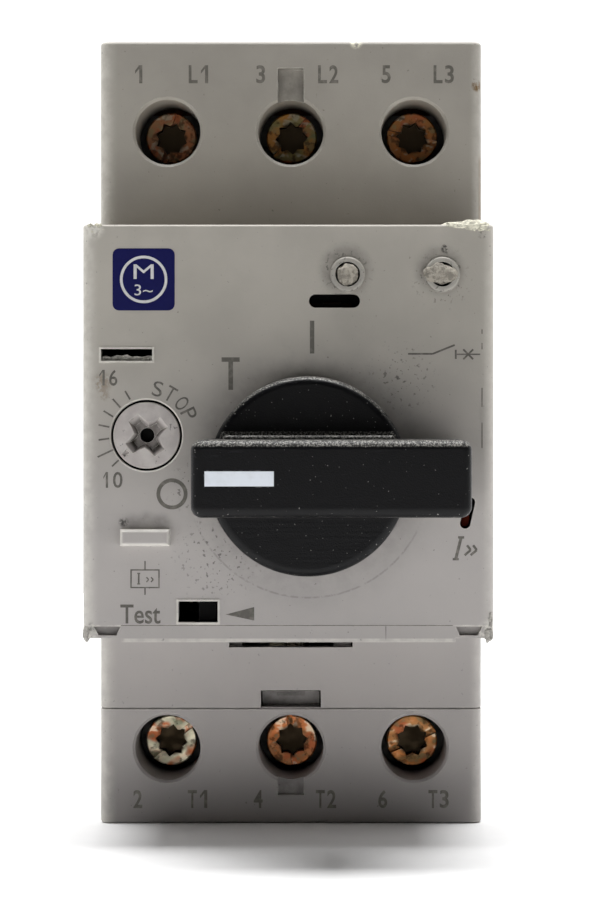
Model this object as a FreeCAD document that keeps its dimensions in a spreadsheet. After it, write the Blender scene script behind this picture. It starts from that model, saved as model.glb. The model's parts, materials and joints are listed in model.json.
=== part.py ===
import FreeCAD, Part
import os
import re
import Sketcher
from FreeCAD import Placement, Rotation, Vector

# Three-pole motor protection circuit breaker, 45 mm wide, for a 35 mm rail.
# Millimetres. X to the right, Z up, the front looks towards -Y. The origin is the middle of the
# rail seat. "Level" below means the distance in front of the rail seat, which is -Y.

SIZES = {
    # Case
    "case_width": 44.4,
    "case_height": 91.0,
    "case_front": 40.0,
    "case_wall": 2.0,
    "case_round": 1.2,
    "case_corner": 0.4,
    "edge_round": 0.25,
    "back_depth": 6.0,
    "floor_level": 2.0,
    "split_level": 16.0,
    "load_block_height": 13.5,
    "pole_margin": 0.705,
    "pole_wall": 1.6,
    "chamber_rib": 1.93,
    "seam_groove": 0.2,
    "seam_depth": 0.4,
    # Clearances
    "fit_gap": 0.05,
    "slide_gap": 0.2,
    "seat_gap": 0.1,
    # Rail channel and rail latch
    "rail_height": 35.0,
    "rail_play": 0.3,
    "rail_lip": 1.75,
    "rail_gap": 1.7,
    "seat_height": 28.0,
    "seat_rise": 0.4,
    "latch_width": 18.0,
    "latch_neck": 14.0,
    "latch_lip": 1.6,
    "latch_flange": 2.1,
    "latch_travel": 2.5,
    "latch_tuck": 0.5,
    "latch_ramp": 1.6,
    "latch_window": 4.8,
    "latch_lug_rise": 7.6,
    "latch_lug_height": 1.4,
    "latch_spring_room": 10.5,
    "latch_spring_radius": 0.85,
    "latch_spring_wire": 0.5,
    # Snap tongues of the two front housings on the base
    "snap_thick": 0.9,
    "snap_inset": 0.1,
    "snap_length": 7.0,
    "snap_width": 6.0,
    "upper_snap_height": 26.0,
    "middle_snap_drop": 12.0,
    "load_snap_rise": 6.5,
    # Terminals
    "line_well_drop": 10.5,
    "load_well_rise": 8.8,
    "well_diameter": 7.6,
    "well_chamfer": 0.3,
    "screw_sink": 7.0,
    "screw_head_diameter": 6.0,
    "screw_head_height": 2.4,
    "screw_head_chamfer": 0.15,
    "screw_diameter": 4.0,
    "screw_slot": 0.7,
    "screw_slot_depth": 1.0,
    "screw_star": 3.9,
    "screw_star_depth": 2.0,
    "clamp_lift": 4.2,
    "clamp_width": 9.8,
    "clamp_height": 7.0,
    "clamp_wall": 1.2,
    "clamp_front_wall": 1.8,
    "wire_gap": 5.0,
    "wire_entry_width": 8.0,
    "wire_entry_margin": 0.6,
    "wire_entry_flare": 0.8,
    "bar_width": 7.0,
    "bar_thick": 1.4,
    "bar_reach": 4.7,
    "line_rib_drop": 5.5,
    "line_rib_height": 4.5,
    # Recesses of the terminal faces
    "marker_width": 3.05,
    "marker_depth": 1.2,
    "line_marker_inset": 3.1,
    "load_marker_inset": 3.3,
    "hook_window_width": 7.0,
    "hook_window_height": 2.0,
    "hook_window_depth": 3.8,
    "hook_sink": 1.2,
    "hook_depth": 2.2,
    "hook_slant": 1.4,
    "slit_width": 14.4,
    "slit_height": 2.15,
    # Cover
    "cover_overhang": 0.3,
    "cover_width": "=case_width + 2*cover_overhang",
    "cover_extra": 0.2,
    "cover_height": "=case_height/2 + cover_extra",
    "cover_front": 58.0,
    "cover_wall": 1.8,
    "cover_round": 1.1,
    "cover_corner": 0.3,
    "spigot_height": 1.2,
    "spigot_thick": 1.2,
    "strip_height": 1.85,
    "strip_step": 0.2,
    "notch_inner_inset": 4.2,
    "notch_outer_inset": 1.25,
    "notch_top_inset": 1.73,
    "notch_bottom_inset": 0.75,
    "notch_slant": 0.5,
    "notch_depth": 1.0,
    "corner_step": 0.45,
    # Knob, its shaft and crank
    "knob_x": 2.2,
    "knob_drop": 4.6,
    "knob_radius": 10.8,
    "knob_gap": 0.4,
    "knob_disc": 4.6,
    "knob_disc_round": 0.9,
    "knob_bar_lift": 2.6,
    "knob_bar_front": 73.5,
    "knob_bar_width": 8.1,
    "knob_bar_left": 12.05,
    "knob_bar_right": 17.1,
    "knob_bar_corner": 1.15,
    "knob_bar_round": 1.0,
    "pointer_length": 7.2,
    "pointer_width": 1.6,
    "pointer_inset": 1.45,
    "pointer_depth": 0.5,
    "shaft_radius": 3.0,
    "shaft_socket": 2.8,
    "boss_radius": 4.6,
    "boss_shoulder_radius": 5.7,
    "boss_length": 5.9,
    "boss_shoulder": 2.2,
    "crank_radius": 6.2,
    "crank_thick": 2.5,
    "crank_gap": 0.3,
    "pin_radius": 0.8,
    "pin_play": 0.2,
    "yoke_gap": 2.0,
    "yoke_thick": 2.0,
    "yoke_width": 6.4,
    "yoke_rim": 2.0,
    # Contacts
    "contact_drop": 36.5,
    "contact_spread": 12.0,
    "bridge_level": 14.0,
    "bridge_length": 15.4,
    "bridge_width": 4.4,
    "bridge_thick": 1.2,
    "tip_thick": 0.8,
    "tip_length": 3.0,
    "tip_width": 3.6,
    "touch_gap": 0.02,
    "carrier_travel": 3.4,
    "carrier_depth": 6.0,
    "carrier_thick": 2.4,
    "carrier_post": 1.2,
    "carrier_post_depth": 3.2,
    "carrier_hook": 1.1,
    "carrier_arm": 2.0,
    "carrier_arm_drop": 6.0,
    "contact_spring_height": 4.0,
    "contact_spring_radius": 1.3,
    "spring_wire": 0.6,
    "opening_seat_drop": 3.0,
    "opening_seat_width": 4.6,
    "opening_seat_thick": 1.4,
    "opening_spring_radius": 1.6,
    "arc_plate_gap": 0.665,
    "arc_plate_depth": 3.6,
    "arc_plate_thick": 1.0,
    "arc_plate_pitch": 2.3,
    "arc_notch": 1.6,
    # Magnetic release
    "coil_drop": 8.3,
    "coil_length": 13.8,
    "coil_radius": 4.2,
    "coil_wire": 1.6,
    "coil_pitch": 2.44,
    "coil_clear": 3.8,
    "bobbin_wall": 0.7,
    "bobbin_flange": 0.8,
    "bobbin_flange_radius": 5.2,
    "yoke_plate": 1.4,
    "yoke_half_width": 4.2,
    "plunger_radius": 2.4,
    "core_length": 4.7,
    "plunger_travel": 2.0,
    "striker_radius": 0.8,
    "striker_drop": 3.0,
    # Thermal release
    "bimetal_low": 19.0,
    "bimetal_height": 5.0,
    "bimetal_thick": 0.8,
    "bimetal_back": 5.5,
    "bimetal_front": 34.5,
    "bimetal_seat": 5.0,
    "heater_back": 12.0,
    "heater_length": 18.0,
    "heater_wall": 0.9,
    "heater_groove": 0.4,
    # Trip train
    "slide_back": 31.5,
    "slide_depth": 2.5,
    "slide_rise": 1.9,
    "slide_height": 2.4,
    "slide_margin": 0.7,
    "slide_travel": 2.0,
    "finger_width": 1.6,
    "finger_gap": 0.6,
    "finger_drop": 6.2,
    "guide_width": 2.0,
    "guide_x": 6.0,
    "lever_x": 11.5,
    "lever_lift": 8.2,
    "lever_hub": 2.4,
    "lever_pin": 1.0,
    "lever_arm": 1.6,
    "lever_reach": 7.8,
    "lever_rise": 8.0,
    "lug_width": 1.4,
    "lug_height": 2.0,
    # Test slider
    "test_slot_inset": 10.5,
    "test_slot_width": 4.3,
    "test_slot_rise": 2.2,
    "test_slot_height": 2.3,
    "test_travel": 2.0,
    "test_plate_thick": 2.5,
    "test_plate_length": 5.4,
    "test_leg": 1.4,
    "test_nub_sink": 0.8,
    "slider_rail_height": 1.0,
    # Setting dial
    "dial_inset": 7.0,
    "dial_drop": 0.2,
    "dial_radius": 3.65,
    "dial_gap": 0.25,
    "dial_sink": 0.2,
    "dial_flange": 1.0,
    "dial_flange_thick": 1.6,
    "dial_spindle": 1.5,
    "dial_cam_radius": 2.6,
    "dial_cam_offset": 0.9,
    "dial_cam_thick": 2.5,
    "dial_cross_reach": 2.3,
    "dial_cross_width": 1.45,
    "dial_cross_depth": 1.0,
    "dial_cross_bevel": 0.3,
    "dial_cross_angle": 37.0,
    "dial_pointer_width": 0.7,
    "dial_hole": 0.8,
    "dial_pointer_angle": 221.0,
    # Trip flag
    "flag_slot_inset": 2.35,
    "flag_slot_width": 1.15,
    "flag_slot_top_angle": -9.5,
    "flag_slot_bottom_angle": -17.0,
    "flag_travel_angle": 5.0,
    "flag_ring": 1.8,
    "flag_thick": 2.2,
    "flag_tab": 0.7,
    "flag_tab_sink": 1.2,
    "flag_tab_angle": 2.0,
    "flag_margin": 0.35,
    # Openings and lugs of the cover's face
    "label_slot_inset": 4.83,
    "label_slot_z": 8.6,
    "label_slot_width": 6.0,
    "label_slot_height": 1.7,
    "slot_rim": 0.2,
    "slot_rim_rise": 0.15,
    "lock_slot_x": 5.07,
    "lock_slot_drop": 8.35,
    "lock_slot_length": 5.6,
    "lock_slot_width": 1.5,
    "seal_pitch": 10.35,
    "seal_inset": 5.65,
    "seal_drop": 5.45,
    "seal_ring_diameter": 3.85,
    "seal_ring_rise": 0.5,
    "seal_plug_diameter": 2.5,
    "seal_plug_rise": 0.35,
    "tab_inset": 6.9,
    "tab_drop": 11.35,
    "tab_length": 5.4,
    "tab_width": 1.8,
    "tab_rise": 1.5,
    "tab_round": 0.5,
}

POLES = (1, 2, 3)
LATCH_SPRING_TURNS = 6
CONTACT_SPRING_TURNS = 3
OPENING_SPRING_TURNS = 5
HEATER_TURNS = 9
ARC_PLATE_COUNT = 5
# Directions of the screw slots, in degrees from level
LINE_SCREW_ANGLES = (73, 49, -13)
LOAD_SCREW_ANGLES = (38, 96, 24)

doc = FreeCAD.newDocument("motor_breaker")
sheet = doc.addObject("Spreadsheet::Sheet", "Sizes")
for row, (size_name, size) in enumerate(SIZES.items(), 1):
    sheet.set(f"A{row}", size_name)
    sheet.set(f"B{row}", str(size))
    sheet.setAlias(f"B{row}", size_name)
doc.recompute()

nodes = []


# Formulas in size names

def cells(formula):
    """The formula with each size name pointed at its cell."""
    def point(word):
        return f"Sizes.{word[0]}" if word[0] in SIZES else word[0]
    return re.sub(r"[a-z][a-z_]*", point, str(formula))


def bind(thing, prop, formula):
    thing.setExpression(prop, cells(formula))


def value(formula):
    return float(sheet.evalExpression(cells(formula)))


def pole(number):
    """The x of a pole's middle plane."""
    return f"({number - 2})*{PITCH}"


def about(middle, half):
    """The two ends of a span, from its middle and half its length."""
    return (f"{middle} - ({half})", f"{middle} + ({half})")


def from_knob(radius, angle):
    """A point of the front view, by its distance and direction from the knob's axis."""
    return (f"knob_x + ({radius})*cos({angle})", f"{KNOB_Z} + ({radius})*sin({angle})")


# Places worked out from the sizes

PITCH = "((case_width - 2*pole_margin)/3)"
TOP = "case_height/2"
BOTTOM = "-case_height/2"
BACK = "-back_depth"
INSIDE = "(case_width/2 - case_wall)"
SEAM = "(load_block_height - case_height/2)"
LINE_Z = "(case_height/2 - line_well_drop)"
LOAD_Z = "(load_well_rise - case_height/2)"
RIB_TOP = f"({LINE_Z} - line_rib_drop)"
RIB_BOTTOM = f"({RIB_TOP} - line_rib_height)"
CHAMBER_HALF = f"(({PITCH} - chamber_rib)/2)"
GROOVE = "(rail_height/2 + rail_play/2)"
LIP = "(rail_height/2 + rail_play/2 - rail_lip)"
LATCH_BACK = "(seat_gap - back_depth)"
FLANGE_BACK = "(latch_lip + slide_gap - back_depth)"
FLANGE_FRONT = "(latch_lip + slide_gap + latch_flange - back_depth)"
LATCH_FLOOR = "(latch_lip + latch_flange + 2*slide_gap - back_depth)"
LATCH_LUG = "(latch_lug_rise - case_height/2)"
LATCH_LUG_TOP = "(latch_lug_rise + latch_lug_height - case_height/2)"
LATCH_WINDOW_TOP = "(latch_lug_rise + latch_lug_height + latch_spring_room - case_height/2)"
HEAD_BACK = "(case_front - screw_sink - screw_head_height)"
BAR_FRONT = f"({HEAD_BACK} - clamp_front_wall - clamp_lift - 2*slide_gap)"
BAR_BACK = f"({BAR_FRONT} - bar_thick)"
CLAMP_FRONT = f"({BAR_FRONT} + slide_gap + clamp_front_wall)"
CLAMP_FLOOR = f"({BAR_BACK} - wire_gap)"
CLAMP_BACK = f"({BAR_BACK} - wire_gap - clamp_wall)"
BAR_SEAT = f"({BAR_FRONT} + seat_gap)"
HOUSING_WALL = "(case_front - case_wall)"
FACE_UNDER = "(case_front - slide_gap)"
COVER_BACK = "(cover_front - cover_wall)"
COVER_IN_X = "(cover_width/2 - cover_wall)"
COVER_IN_Z = "(cover_height/2 - cover_wall)"
KNOB_Z = "(-knob_drop)"
DIAL_X = "(dial_inset - cover_width/2)"
DIAL_Z = "(-dial_drop)"
FLAG_RADIUS = "(cover_width/2 - knob_x - flag_slot_inset)"
LABEL_SLOT_X = "(label_slot_inset - cover_width/2)"
LOCK_SLOT_Z = "(cover_height/2 - lock_slot_drop)"
SEAL_FAR_X = "(cover_width/2 - seal_inset)"
SEAL_NEAR_X = f"({SEAL_FAR_X} - seal_pitch)"
SEAL_Z = "(cover_height/2 - seal_drop)"
TAB_X = "(tab_inset - cover_width/2)"
TAB_Z = "(-tab_drop)"
TEST_SLOT_LEFT = "(test_slot_inset - cover_width/2)"
TEST_SLOT_RIGHT = f"({TEST_SLOT_LEFT} + test_slot_width)"
TEST_SLOT_BOTTOM = "(test_slot_rise - cover_height/2)"
TEST_SLOT_TOP = f"({TEST_SLOT_BOTTOM} + test_slot_height)"
CONTACT_Z = "(case_height/2 - contact_drop)"
OPENING_SEAT = f"({CONTACT_Z} - opening_seat_drop)"
FRONT_TIP = "(bridge_level + contact_spread/2)"
BACK_TIP = "(bridge_level - contact_spread/2)"
FOOT_TOP = f"({CONTACT_Z} - tip_thick)"
FOOT_BOTTOM = f"({CONTACT_Z} - tip_thick - bar_thick)"
MOVING_TIP = f"({CONTACT_Z} + touch_gap + carrier_travel)"
BRIDGE_LOW = f"({MOVING_TIP} + tip_thick)"
BRIDGE_TOP = f"({BRIDGE_LOW} + bridge_thick)"
CARRIER_LOW = f"({BRIDGE_TOP} + contact_spring_height)"
CARRIER_TOP = f"({CARRIER_LOW} + carrier_thick)"
CARRIER_FRONT = "(bridge_level + carrier_depth/2)"
BOSS_BACK = f"({COVER_BACK} - boss_length)"
CRANK_FRONT = f"({BOSS_BACK} - crank_gap)"
CRANK_BACK = f"({CRANK_FRONT} - crank_thick)"
YOKE_FRONT = f"({CRANK_BACK} - yoke_gap)"
YOKE_BACK = f"({YOKE_FRONT} - yoke_thick)"
CRANK_THROW = "(carrier_travel/2)"
PIN_X = f"(knob_x + {CRANK_THROW})"
PIN_Z = f"({KNOB_Z} + {CRANK_THROW})"
ARM_LOW = f"({CARRIER_LOW} - carrier_arm_drop)"
ARM_TOP = f"({ARM_LOW} + carrier_thick)"
ARM_LEFT = "(bar_width/2 + slide_gap + fit_gap)"
KNOB_BACK = "(cover_front + knob_gap)"
KNOB_DISC_FRONT = "(cover_front + knob_gap + knob_disc)"
KNOB_BAR_BACK = "(cover_front + knob_bar_lift)"
POINTER_SPAN = ("knob_bar_front - pointer_depth", "knob_bar_front")
BIMETAL_LOW = "(bimetal_low - case_height/2)"
BIMETAL_TOP = "(bimetal_low + bimetal_height - case_height/2)"
COIL_TOP = f"({CONTACT_Z} - coil_drop)"
COIL_BOTTOM = f"max({COIL_TOP} - coil_length; {BIMETAL_TOP} + coil_clear)"
YOKE_TOP = f"({COIL_TOP} + bobbin_flange)"
YOKE_BOTTOM = f"({COIL_BOTTOM} - bobbin_flange)"
BORE_RADIUS = "(plunger_radius + slide_gap)"
CORE_BOTTOM = f"({YOKE_TOP} - core_length)"
PLUNGER_TOP = f"({CORE_BOTTOM} - plunger_travel - slide_gap)"
STRIKER_TOP = f"({CONTACT_Z} - striker_drop)"
LOAD_FOOT_LOW = f"({SEAM} + case_wall + seat_gap)"
SLIDE_FRONT = "(slide_back + slide_depth)"
SLIDE_BOTTOM = f"({BIMETAL_TOP} + slide_rise)"
SLIDE_TOP = f"({SLIDE_BOTTOM} + slide_height)"
LEVER_Z = f"({SLIDE_TOP} + lever_lift)"
TEST_FRONT = f"({COVER_BACK} - slide_gap)"
TEST_BACK = f"({TEST_FRONT} - test_plate_thick)"
TEST_LEFT = f"({TEST_SLOT_LEFT} + slide_gap + test_travel)"
TEST_LEG_LEFT = f"({TEST_LEFT} + slide_gap)"
TEST_LOW = "(cover_wall + seat_gap - cover_height/2)"
TEST_HIGH = f"({TEST_SLOT_TOP} + seat_gap)"
TEST_LEG_LOW = f"min({TEST_LOW} + slide_gap; {SLIDE_BOTTOM})"
TEST_LEG_HIGH = f"max({TEST_HIGH}; {SLIDE_TOP})"
FLAG_BACK = f"({CRANK_FRONT} + 2*crank_gap)"
FLAG_FRONT = f"({FLAG_BACK} + flag_thick)"
DIAL_FACE = "(cover_front - dial_sink)"


# Simple solids and booleans

def block(name, x, level, z):
    """A box between two values each of x, level and z."""
    box = doc.addObject("Part::Box", name)
    bind(box, "Length", f"({x[1]}) - ({x[0]})")
    bind(box, "Width", f"({level[1]}) - ({level[0]})")
    bind(box, "Height", f"({z[1]}) - ({z[0]})")
    bind(box, "Placement.Base.x", x[0])
    bind(box, "Placement.Base.y", f"-({level[1]})")
    bind(box, "Placement.Base.z", z[0])
    return box


def forward_rod(name, x, z, radius, level):
    """A cylinder along the depth, between two levels."""
    rod = doc.addObject("Part::Cylinder", name)
    rod.Placement = Placement(Vector(), Rotation(Vector(1, 0, 0), 90))
    bind(rod, "Radius", radius)
    bind(rod, "Height", f"({level[1]}) - ({level[0]})")
    bind(rod, "Placement.Base.x", x)
    bind(rod, "Placement.Base.y", f"-({level[0]})")
    bind(rod, "Placement.Base.z", z)
    return rod


def upright_rod(name, x, level, radius, z):
    """A cylinder along z, between two heights."""
    rod = doc.addObject("Part::Cylinder", name)
    bind(rod, "Radius", radius)
    bind(rod, "Height", f"({z[1]}) - ({z[0]})")
    bind(rod, "Placement.Base.x", x)
    bind(rod, "Placement.Base.y", f"-({level})")
    bind(rod, "Placement.Base.z", z[0])
    return rod


def join(name, *pieces):
    whole = doc.addObject("Part::MultiFuse", name)
    whole.Shapes = list(pieces)
    whole.Refine = True
    return whole


def cut(name, base, *tools):
    rest = doc.addObject("Part::Cut", name)
    rest.Base = base
    rest.Tool = tools[0] if len(tools) == 1 else join(f"{name}_cutter", *tools)
    rest.Refine = True
    return rest


def coil(name, x, level, z, radius, wire, turns):
    """A helical spring or winding of square wire, upright between two heights."""
    line = doc.addObject("Part::Helix", f"{name}_line")
    bind(line, "Radius", radius)
    bind(line, "Height", f"({z[1]}) - ({z[0]}) - {wire}")
    bind(line, "Pitch", f"(({z[1]}) - ({z[0]}) - {wire}) / {turns}")
    section = doc.addObject("Part::RegularPolygon", f"{name}_section")
    section.Polygon = 4
    bind(section, "Circumradius", f"{wire} / sqrt(2)")
    section.Placement = Placement(Vector(), Rotation(Vector(1, 0, 0), 90) * Rotation(Vector(0, 0, 1), 45))
    for piece, start in ((line, x), (section, f"{x} + {radius}")):
        bind(piece, "Placement.Base.x", start)
        bind(piece, "Placement.Base.y", f"-({level})")
        bind(piece, "Placement.Base.z", f"{z[0]} + {wire}/2")
    doc.recompute()
    wound = doc.addObject("Part::Sweep", name)
    wound.Sections = [section]
    wound.Spine = (line, ["Edge1"])
    wound.Solid = True
    wound.Frenet = True
    return wound


def node(label, *pieces):
    """Names a finished piece, or a set of like pieces that share a name."""
    whole = pieces[0]
    if len(pieces) > 1:
        whole = doc.addObject("Part::Compound", label)
        whole.Links = list(pieces)
    whole.Label = label
    nodes.append(whole)


# Sketched and moulded pieces

FRONT, TOP_VIEW, SIDE_VIEW = "XZ_Plane", "XY_Plane", "YZ_Plane"
PLACE_IN = {
    FRONT: lambda x, z: (x, z),
    TOP_VIEW: lambda x, level: (x, f"-({level})"),
    SIDE_VIEW: lambda level, z: (f"-({level})", z),
}


def pin_down(drawing, geometry, point, place):
    """Ties a point of the drawing to its two formulas."""
    for kind, formula in zip(("DistanceX", "DistanceY"), place):
        number = drawing.addConstraint(Sketcher.Constraint(kind, -1, 1, geometry, point, value(formula)))
        bind(drawing, f"Constraints[{number}]", formula)


def outline(*corners):
    """A closed outline of straight lines."""
    def draw(drawing, place):
        places = [place(*corner) for corner in corners]
        points = [Vector(value(across), value(up), 0) for across, up in places]
        first = drawing.GeometryCount
        count = len(points)
        for index in range(count):
            drawing.addGeometry(Part.LineSegment(points[index], points[(index + 1) % count]))
        for index in range(count):
            follower = first + (index + 1) % count
            drawing.addConstraint(Sketcher.Constraint("Coincident", first + index, 2, follower, 1))
        for index in range(count):
            pin_down(drawing, first + index, 1, places[index])
    return draw


def rectangle(across, up):
    return outline((across[0], up[0]), (across[1], up[0]), (across[1], up[1]), (across[0], up[1]))


def disc(across, up, radius):
    def draw(drawing, place):
        centre = place(across, up)
        circle = Part.Circle(Vector(value(centre[0]), value(centre[1]), 0), Vector(0, 0, 1), value(radius))
        geometry = drawing.addGeometry(circle)
        pin_down(drawing, geometry, 3, centre)
        number = drawing.addConstraint(Sketcher.Constraint("Radius", geometry, value(radius)))
        bind(drawing, f"Constraints[{number}]", radius)
    return draw


def round_slot(start, end, radius):
    """A slot with round ends about two points."""
    def draw(drawing, place):
        ends = [place(*start), place(*end)]
        near, far = [Vector(value(across), value(up), 0) for across, up in ends]
        size = value(radius)
        along = (far - near).normalize()
        side = Vector(-along.y, along.x, 0) * size
        turn = Vector(1, 0, 0).getAngle(along) * (1 if along.y >= 0 else -1)
        quarter = Vector(1, 0, 0).getAngle(Vector(0, 1, 0))
        up = Vector(0, 0, 1)
        far_cap = Part.ArcOfCircle(Part.Circle(far, up, size), turn - quarter, turn + quarter)
        near_cap = Part.ArcOfCircle(Part.Circle(near, up, size), turn + quarter, turn + 3 * quarter)
        upper = drawing.addGeometry(Part.LineSegment(near + side, far + side))
        lower = drawing.addGeometry(Part.LineSegment(far - side, near - side))
        far_arc = drawing.addGeometry(far_cap)
        near_arc = drawing.addGeometry(near_cap)
        joints = ((upper, 2, far_arc, 2), (far_arc, 1, lower, 1),
                  (lower, 2, near_arc, 2), (near_arc, 1, upper, 1))
        for joint in joints:
            drawing.addConstraint(Sketcher.Constraint("Tangent", *joint))
        pin_down(drawing, near_arc, 3, ends[0])
        pin_down(drawing, far_arc, 3, ends[1])
        number = drawing.addConstraint(Sketcher.Constraint("Radius", far_arc, size))
        bind(drawing, f"Constraints[{number}]", radius)
    return draw


class Moulding:
    """A piece built up from sketches in a body of its own."""

    def __init__(self, label):
        self.label = label
        self.body = doc.addObject("PartDesign::Body", label)
        self.planes = {feature.Role: feature for feature in self.body.Origin.OriginFeatures}
        node(label, self.body)

    def sketch(self, name, plane, level, shapes):
        drawing = self.body.newObject("Sketcher::SketchObject", f"{self.label}_{name}_sketch")
        drawing.AttachmentSupport = (self.planes[plane], [""])
        drawing.MapMode = "FlatFace"
        bind(drawing, "AttachmentOffset.Base.z", level)
        for shape in shapes:
            shape(drawing, PLACE_IN[plane])
        drawing.Visibility = False
        return drawing

    def pad(self, name, plane, span, *shapes):
        """Adds the shapes between two distances from the plane."""
        feature = self.body.newObject("PartDesign::Pad", f"{self.label}_{name}")
        feature.Profile = self.sketch(name, plane, span[0], shapes)
        bind(feature, "Length", f"({span[1]}) - ({span[0]})")
        self.settle(feature)

    def pocket(self, name, plane, span, *shapes):
        """Cuts the shapes out between two distances from the plane."""
        before = self.body.Shape.Volume
        feature = self.body.newObject("PartDesign::Pocket", f"{self.label}_{name}")
        feature.Profile = self.sketch(name, plane, span[1], shapes)
        bind(feature, "Length", f"({span[1]}) - ({span[0]})")
        self.settle(feature)
        if self.body.Shape.Volume >= before:
            raise ValueError(f"{self.label} {name} cuts nothing")

    def dress(self, kind, name, prop, size, wanted):
        """Rounds or chamfers the edges that the test wants."""
        base = self.body.Tip
        edges = [f"Edge{index}" for index, edge in enumerate(base.Shape.Edges, 1) if wanted(edge)]
        if not edges:
            raise ValueError(f"{self.label} {name} finds no edge")
        feature = self.body.newObject(f"PartDesign::{kind}", f"{self.label}_{name}")
        feature.Base = (base, edges)
        bind(feature, prop, size)
        self.settle(feature)

    def fillet(self, name, radius, wanted):
        self.dress("Fillet", name, "Radius", radius, wanted)

    def chamfer(self, name, size, wanted):
        self.dress("Chamfer", name, "Size", size, wanted)

    def settle(self, feature):
        self.body.Tip = feature
        doc.recompute()


# Edge tests

def spot(edge):
    """The middle of an edge as x, level, z."""
    middle = edge.valueAt((edge.FirstParameter + edge.LastParameter) / 2)
    return middle.x, -middle.y, middle.z


def near(first, second):
    return abs(first - value(second)) < 1e-4


def is_straight(edge, direction):
    if edge.Degenerated or edge.Curve.TypeId != "Part::GeomLine":
        return False
    along = edge.tangentAt(edge.FirstParameter)
    return abs(along.dot(Vector(*direction))) > 0.999


def depth_corner(half_width, low, high):
    """Outer corner edges that run along the depth."""
    def wanted(edge):
        x, _, z = spot(edge)
        return is_straight(edge, (0, 1, 0)) and near(abs(x), half_width) and (near(z, low) or near(z, high))
    return wanted


def upright_at(half_width, level):
    """Upright outer edges at a level."""
    def wanted(edge):
        x, depth, _ = spot(edge)
        return is_straight(edge, (0, 0, 1)) and near(abs(x), half_width) and near(depth, level)
    return wanted


def end_rim(height, back):
    """The rim of an end face, apart from its back edge."""
    def wanted(edge):
        _, level, z = spot(edge)
        return near(z, height) and level > value(back) + 1e-4
    return wanted


def circle_at(level, radius):
    """Round edges of one radius at a level."""
    def wanted(edge):
        if edge.Degenerated or edge.Curve.TypeId != "Part::GeomCircle":
            return False
        return near(edge.Curve.Radius, radius) and near(-edge.Curve.Center.y, level)
    return wanted


# Case

def snap_spans():
    """Heights of the snap tongues: two pairs on the main housing, one on the load block."""
    return {
        "upper": about("upper_snap_height", "snap_width/2"),
        "middle": about("-middle_snap_drop", "snap_width/2"),
        "load": about("(load_snap_rise - case_height/2)", "snap_width/2"),
    }


def tongue_shapes(names, margin):
    """Tongue sections on both sides, in the front view, grown by a margin."""
    outer = f"(case_width/2 - snap_inset + {margin})"
    inner = f"(case_width/2 - snap_inset - snap_thick - {margin})"
    shapes = []
    for name in names:
        low, high = snap_spans()[name]
        span = (f"{low} - {margin}", f"{high} + {margin}")
        shapes.append(rectangle((inner, outer), span))
        shapes.append(rectangle((f"-{outer}", f"-{inner}"), span))
    return shapes


def make_rear_base():
    base = Moulding("rear_base")
    half = "case_width/2"
    base.pad("shell", FRONT, (BACK, "split_level"), rectangle(about("0", half), (BOTTOM, TOP)))
    base.fillet("corners", "case_corner", depth_corner(half, BOTTOM, TOP))
    inside = about("0", INSIDE)
    inside_z = ("case_wall - case_height/2", "case_height/2 - case_wall")
    base.pocket("hollow", FRONT, ("floor_level", "split_level"), rectangle(inside, inside_z))
    upper_room = (f"{GROOVE} + case_wall", inside_z[1])
    base.pocket("upper_hollow", FRONT, ("case_wall - back_depth", "floor_level"),
                rectangle(inside, upper_room))
    floor, lip_level = "seat_rise", "-rail_gap"
    base.pocket("rail_channel", SIDE_VIEW, about("0", "case_width"), outline(
        (f"{BACK} - case_wall", f"-{GROOVE}"), (floor, f"-{GROOVE}"), (floor, GROOVE),
        (lip_level, GROOVE), (lip_level, LIP), (f"{BACK} - case_wall", f"{LIP} + case_wall/2")))
    base.pad("rail_seat", FRONT, ("0", floor), rectangle(inside, about("0", "seat_height/2")))
    neck, flange = about("0", "latch_neck/2 + slide_gap"), about("0", "latch_width/2 + slide_gap")
    lip_front = "(latch_lip - back_depth)"
    base.pocket("latch_channel", TOP_VIEW, (f"{BOTTOM} - case_wall", f"-{GROOVE} + case_wall"), outline(
        (neck[0], f"{BACK} - case_wall"), (neck[1], f"{BACK} - case_wall"), (neck[1], lip_front),
        (flange[1], lip_front), (flange[1], LATCH_FLOOR), (flange[0], LATCH_FLOOR), (flange[0], lip_front),
        (neck[0], lip_front)))
    base.pad("latch_lug", FRONT, (FLANGE_BACK, LATCH_FLOOR),
             rectangle(about("0", "latch_window/2 - slide_gap"), (LATCH_LUG, LATCH_LUG_TOP)))
    tongue_room = ("split_level - snap_length - seat_gap", "split_level")
    base.pocket("snap_recesses", FRONT, tongue_room, *tongue_shapes(("upper", "middle", "load"), "seat_gap"))
    walls = [about(f"{side}*{PITCH}/2", "pole_wall/2") for side in (-1, 1)]
    spring_seats = [about(f"{side}*{PITCH}/2", "opening_seat_width/2") for side in (-1, 1)]
    base.pad("pole_walls", FRONT, ("floor_level", CARRIER_FRONT),
             *[rectangle(wall, (LOAD_FOOT_LOW, OPENING_SEAT)) for wall in walls])
    base.pad("spring_seats", FRONT, about("bridge_level", "opening_seat_width/2"), *[
        rectangle(seat_x, (f"{OPENING_SEAT} - opening_seat_thick", OPENING_SEAT))
        for seat_x in spring_seats])
    base.pad("arc_walls", FRONT, ("floor_level", "bridge_level - carrier_depth/2 - slide_gap"), *[
        rectangle(wall, (OPENING_SEAT, RIB_BOTTOM)) for wall in walls])


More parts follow.
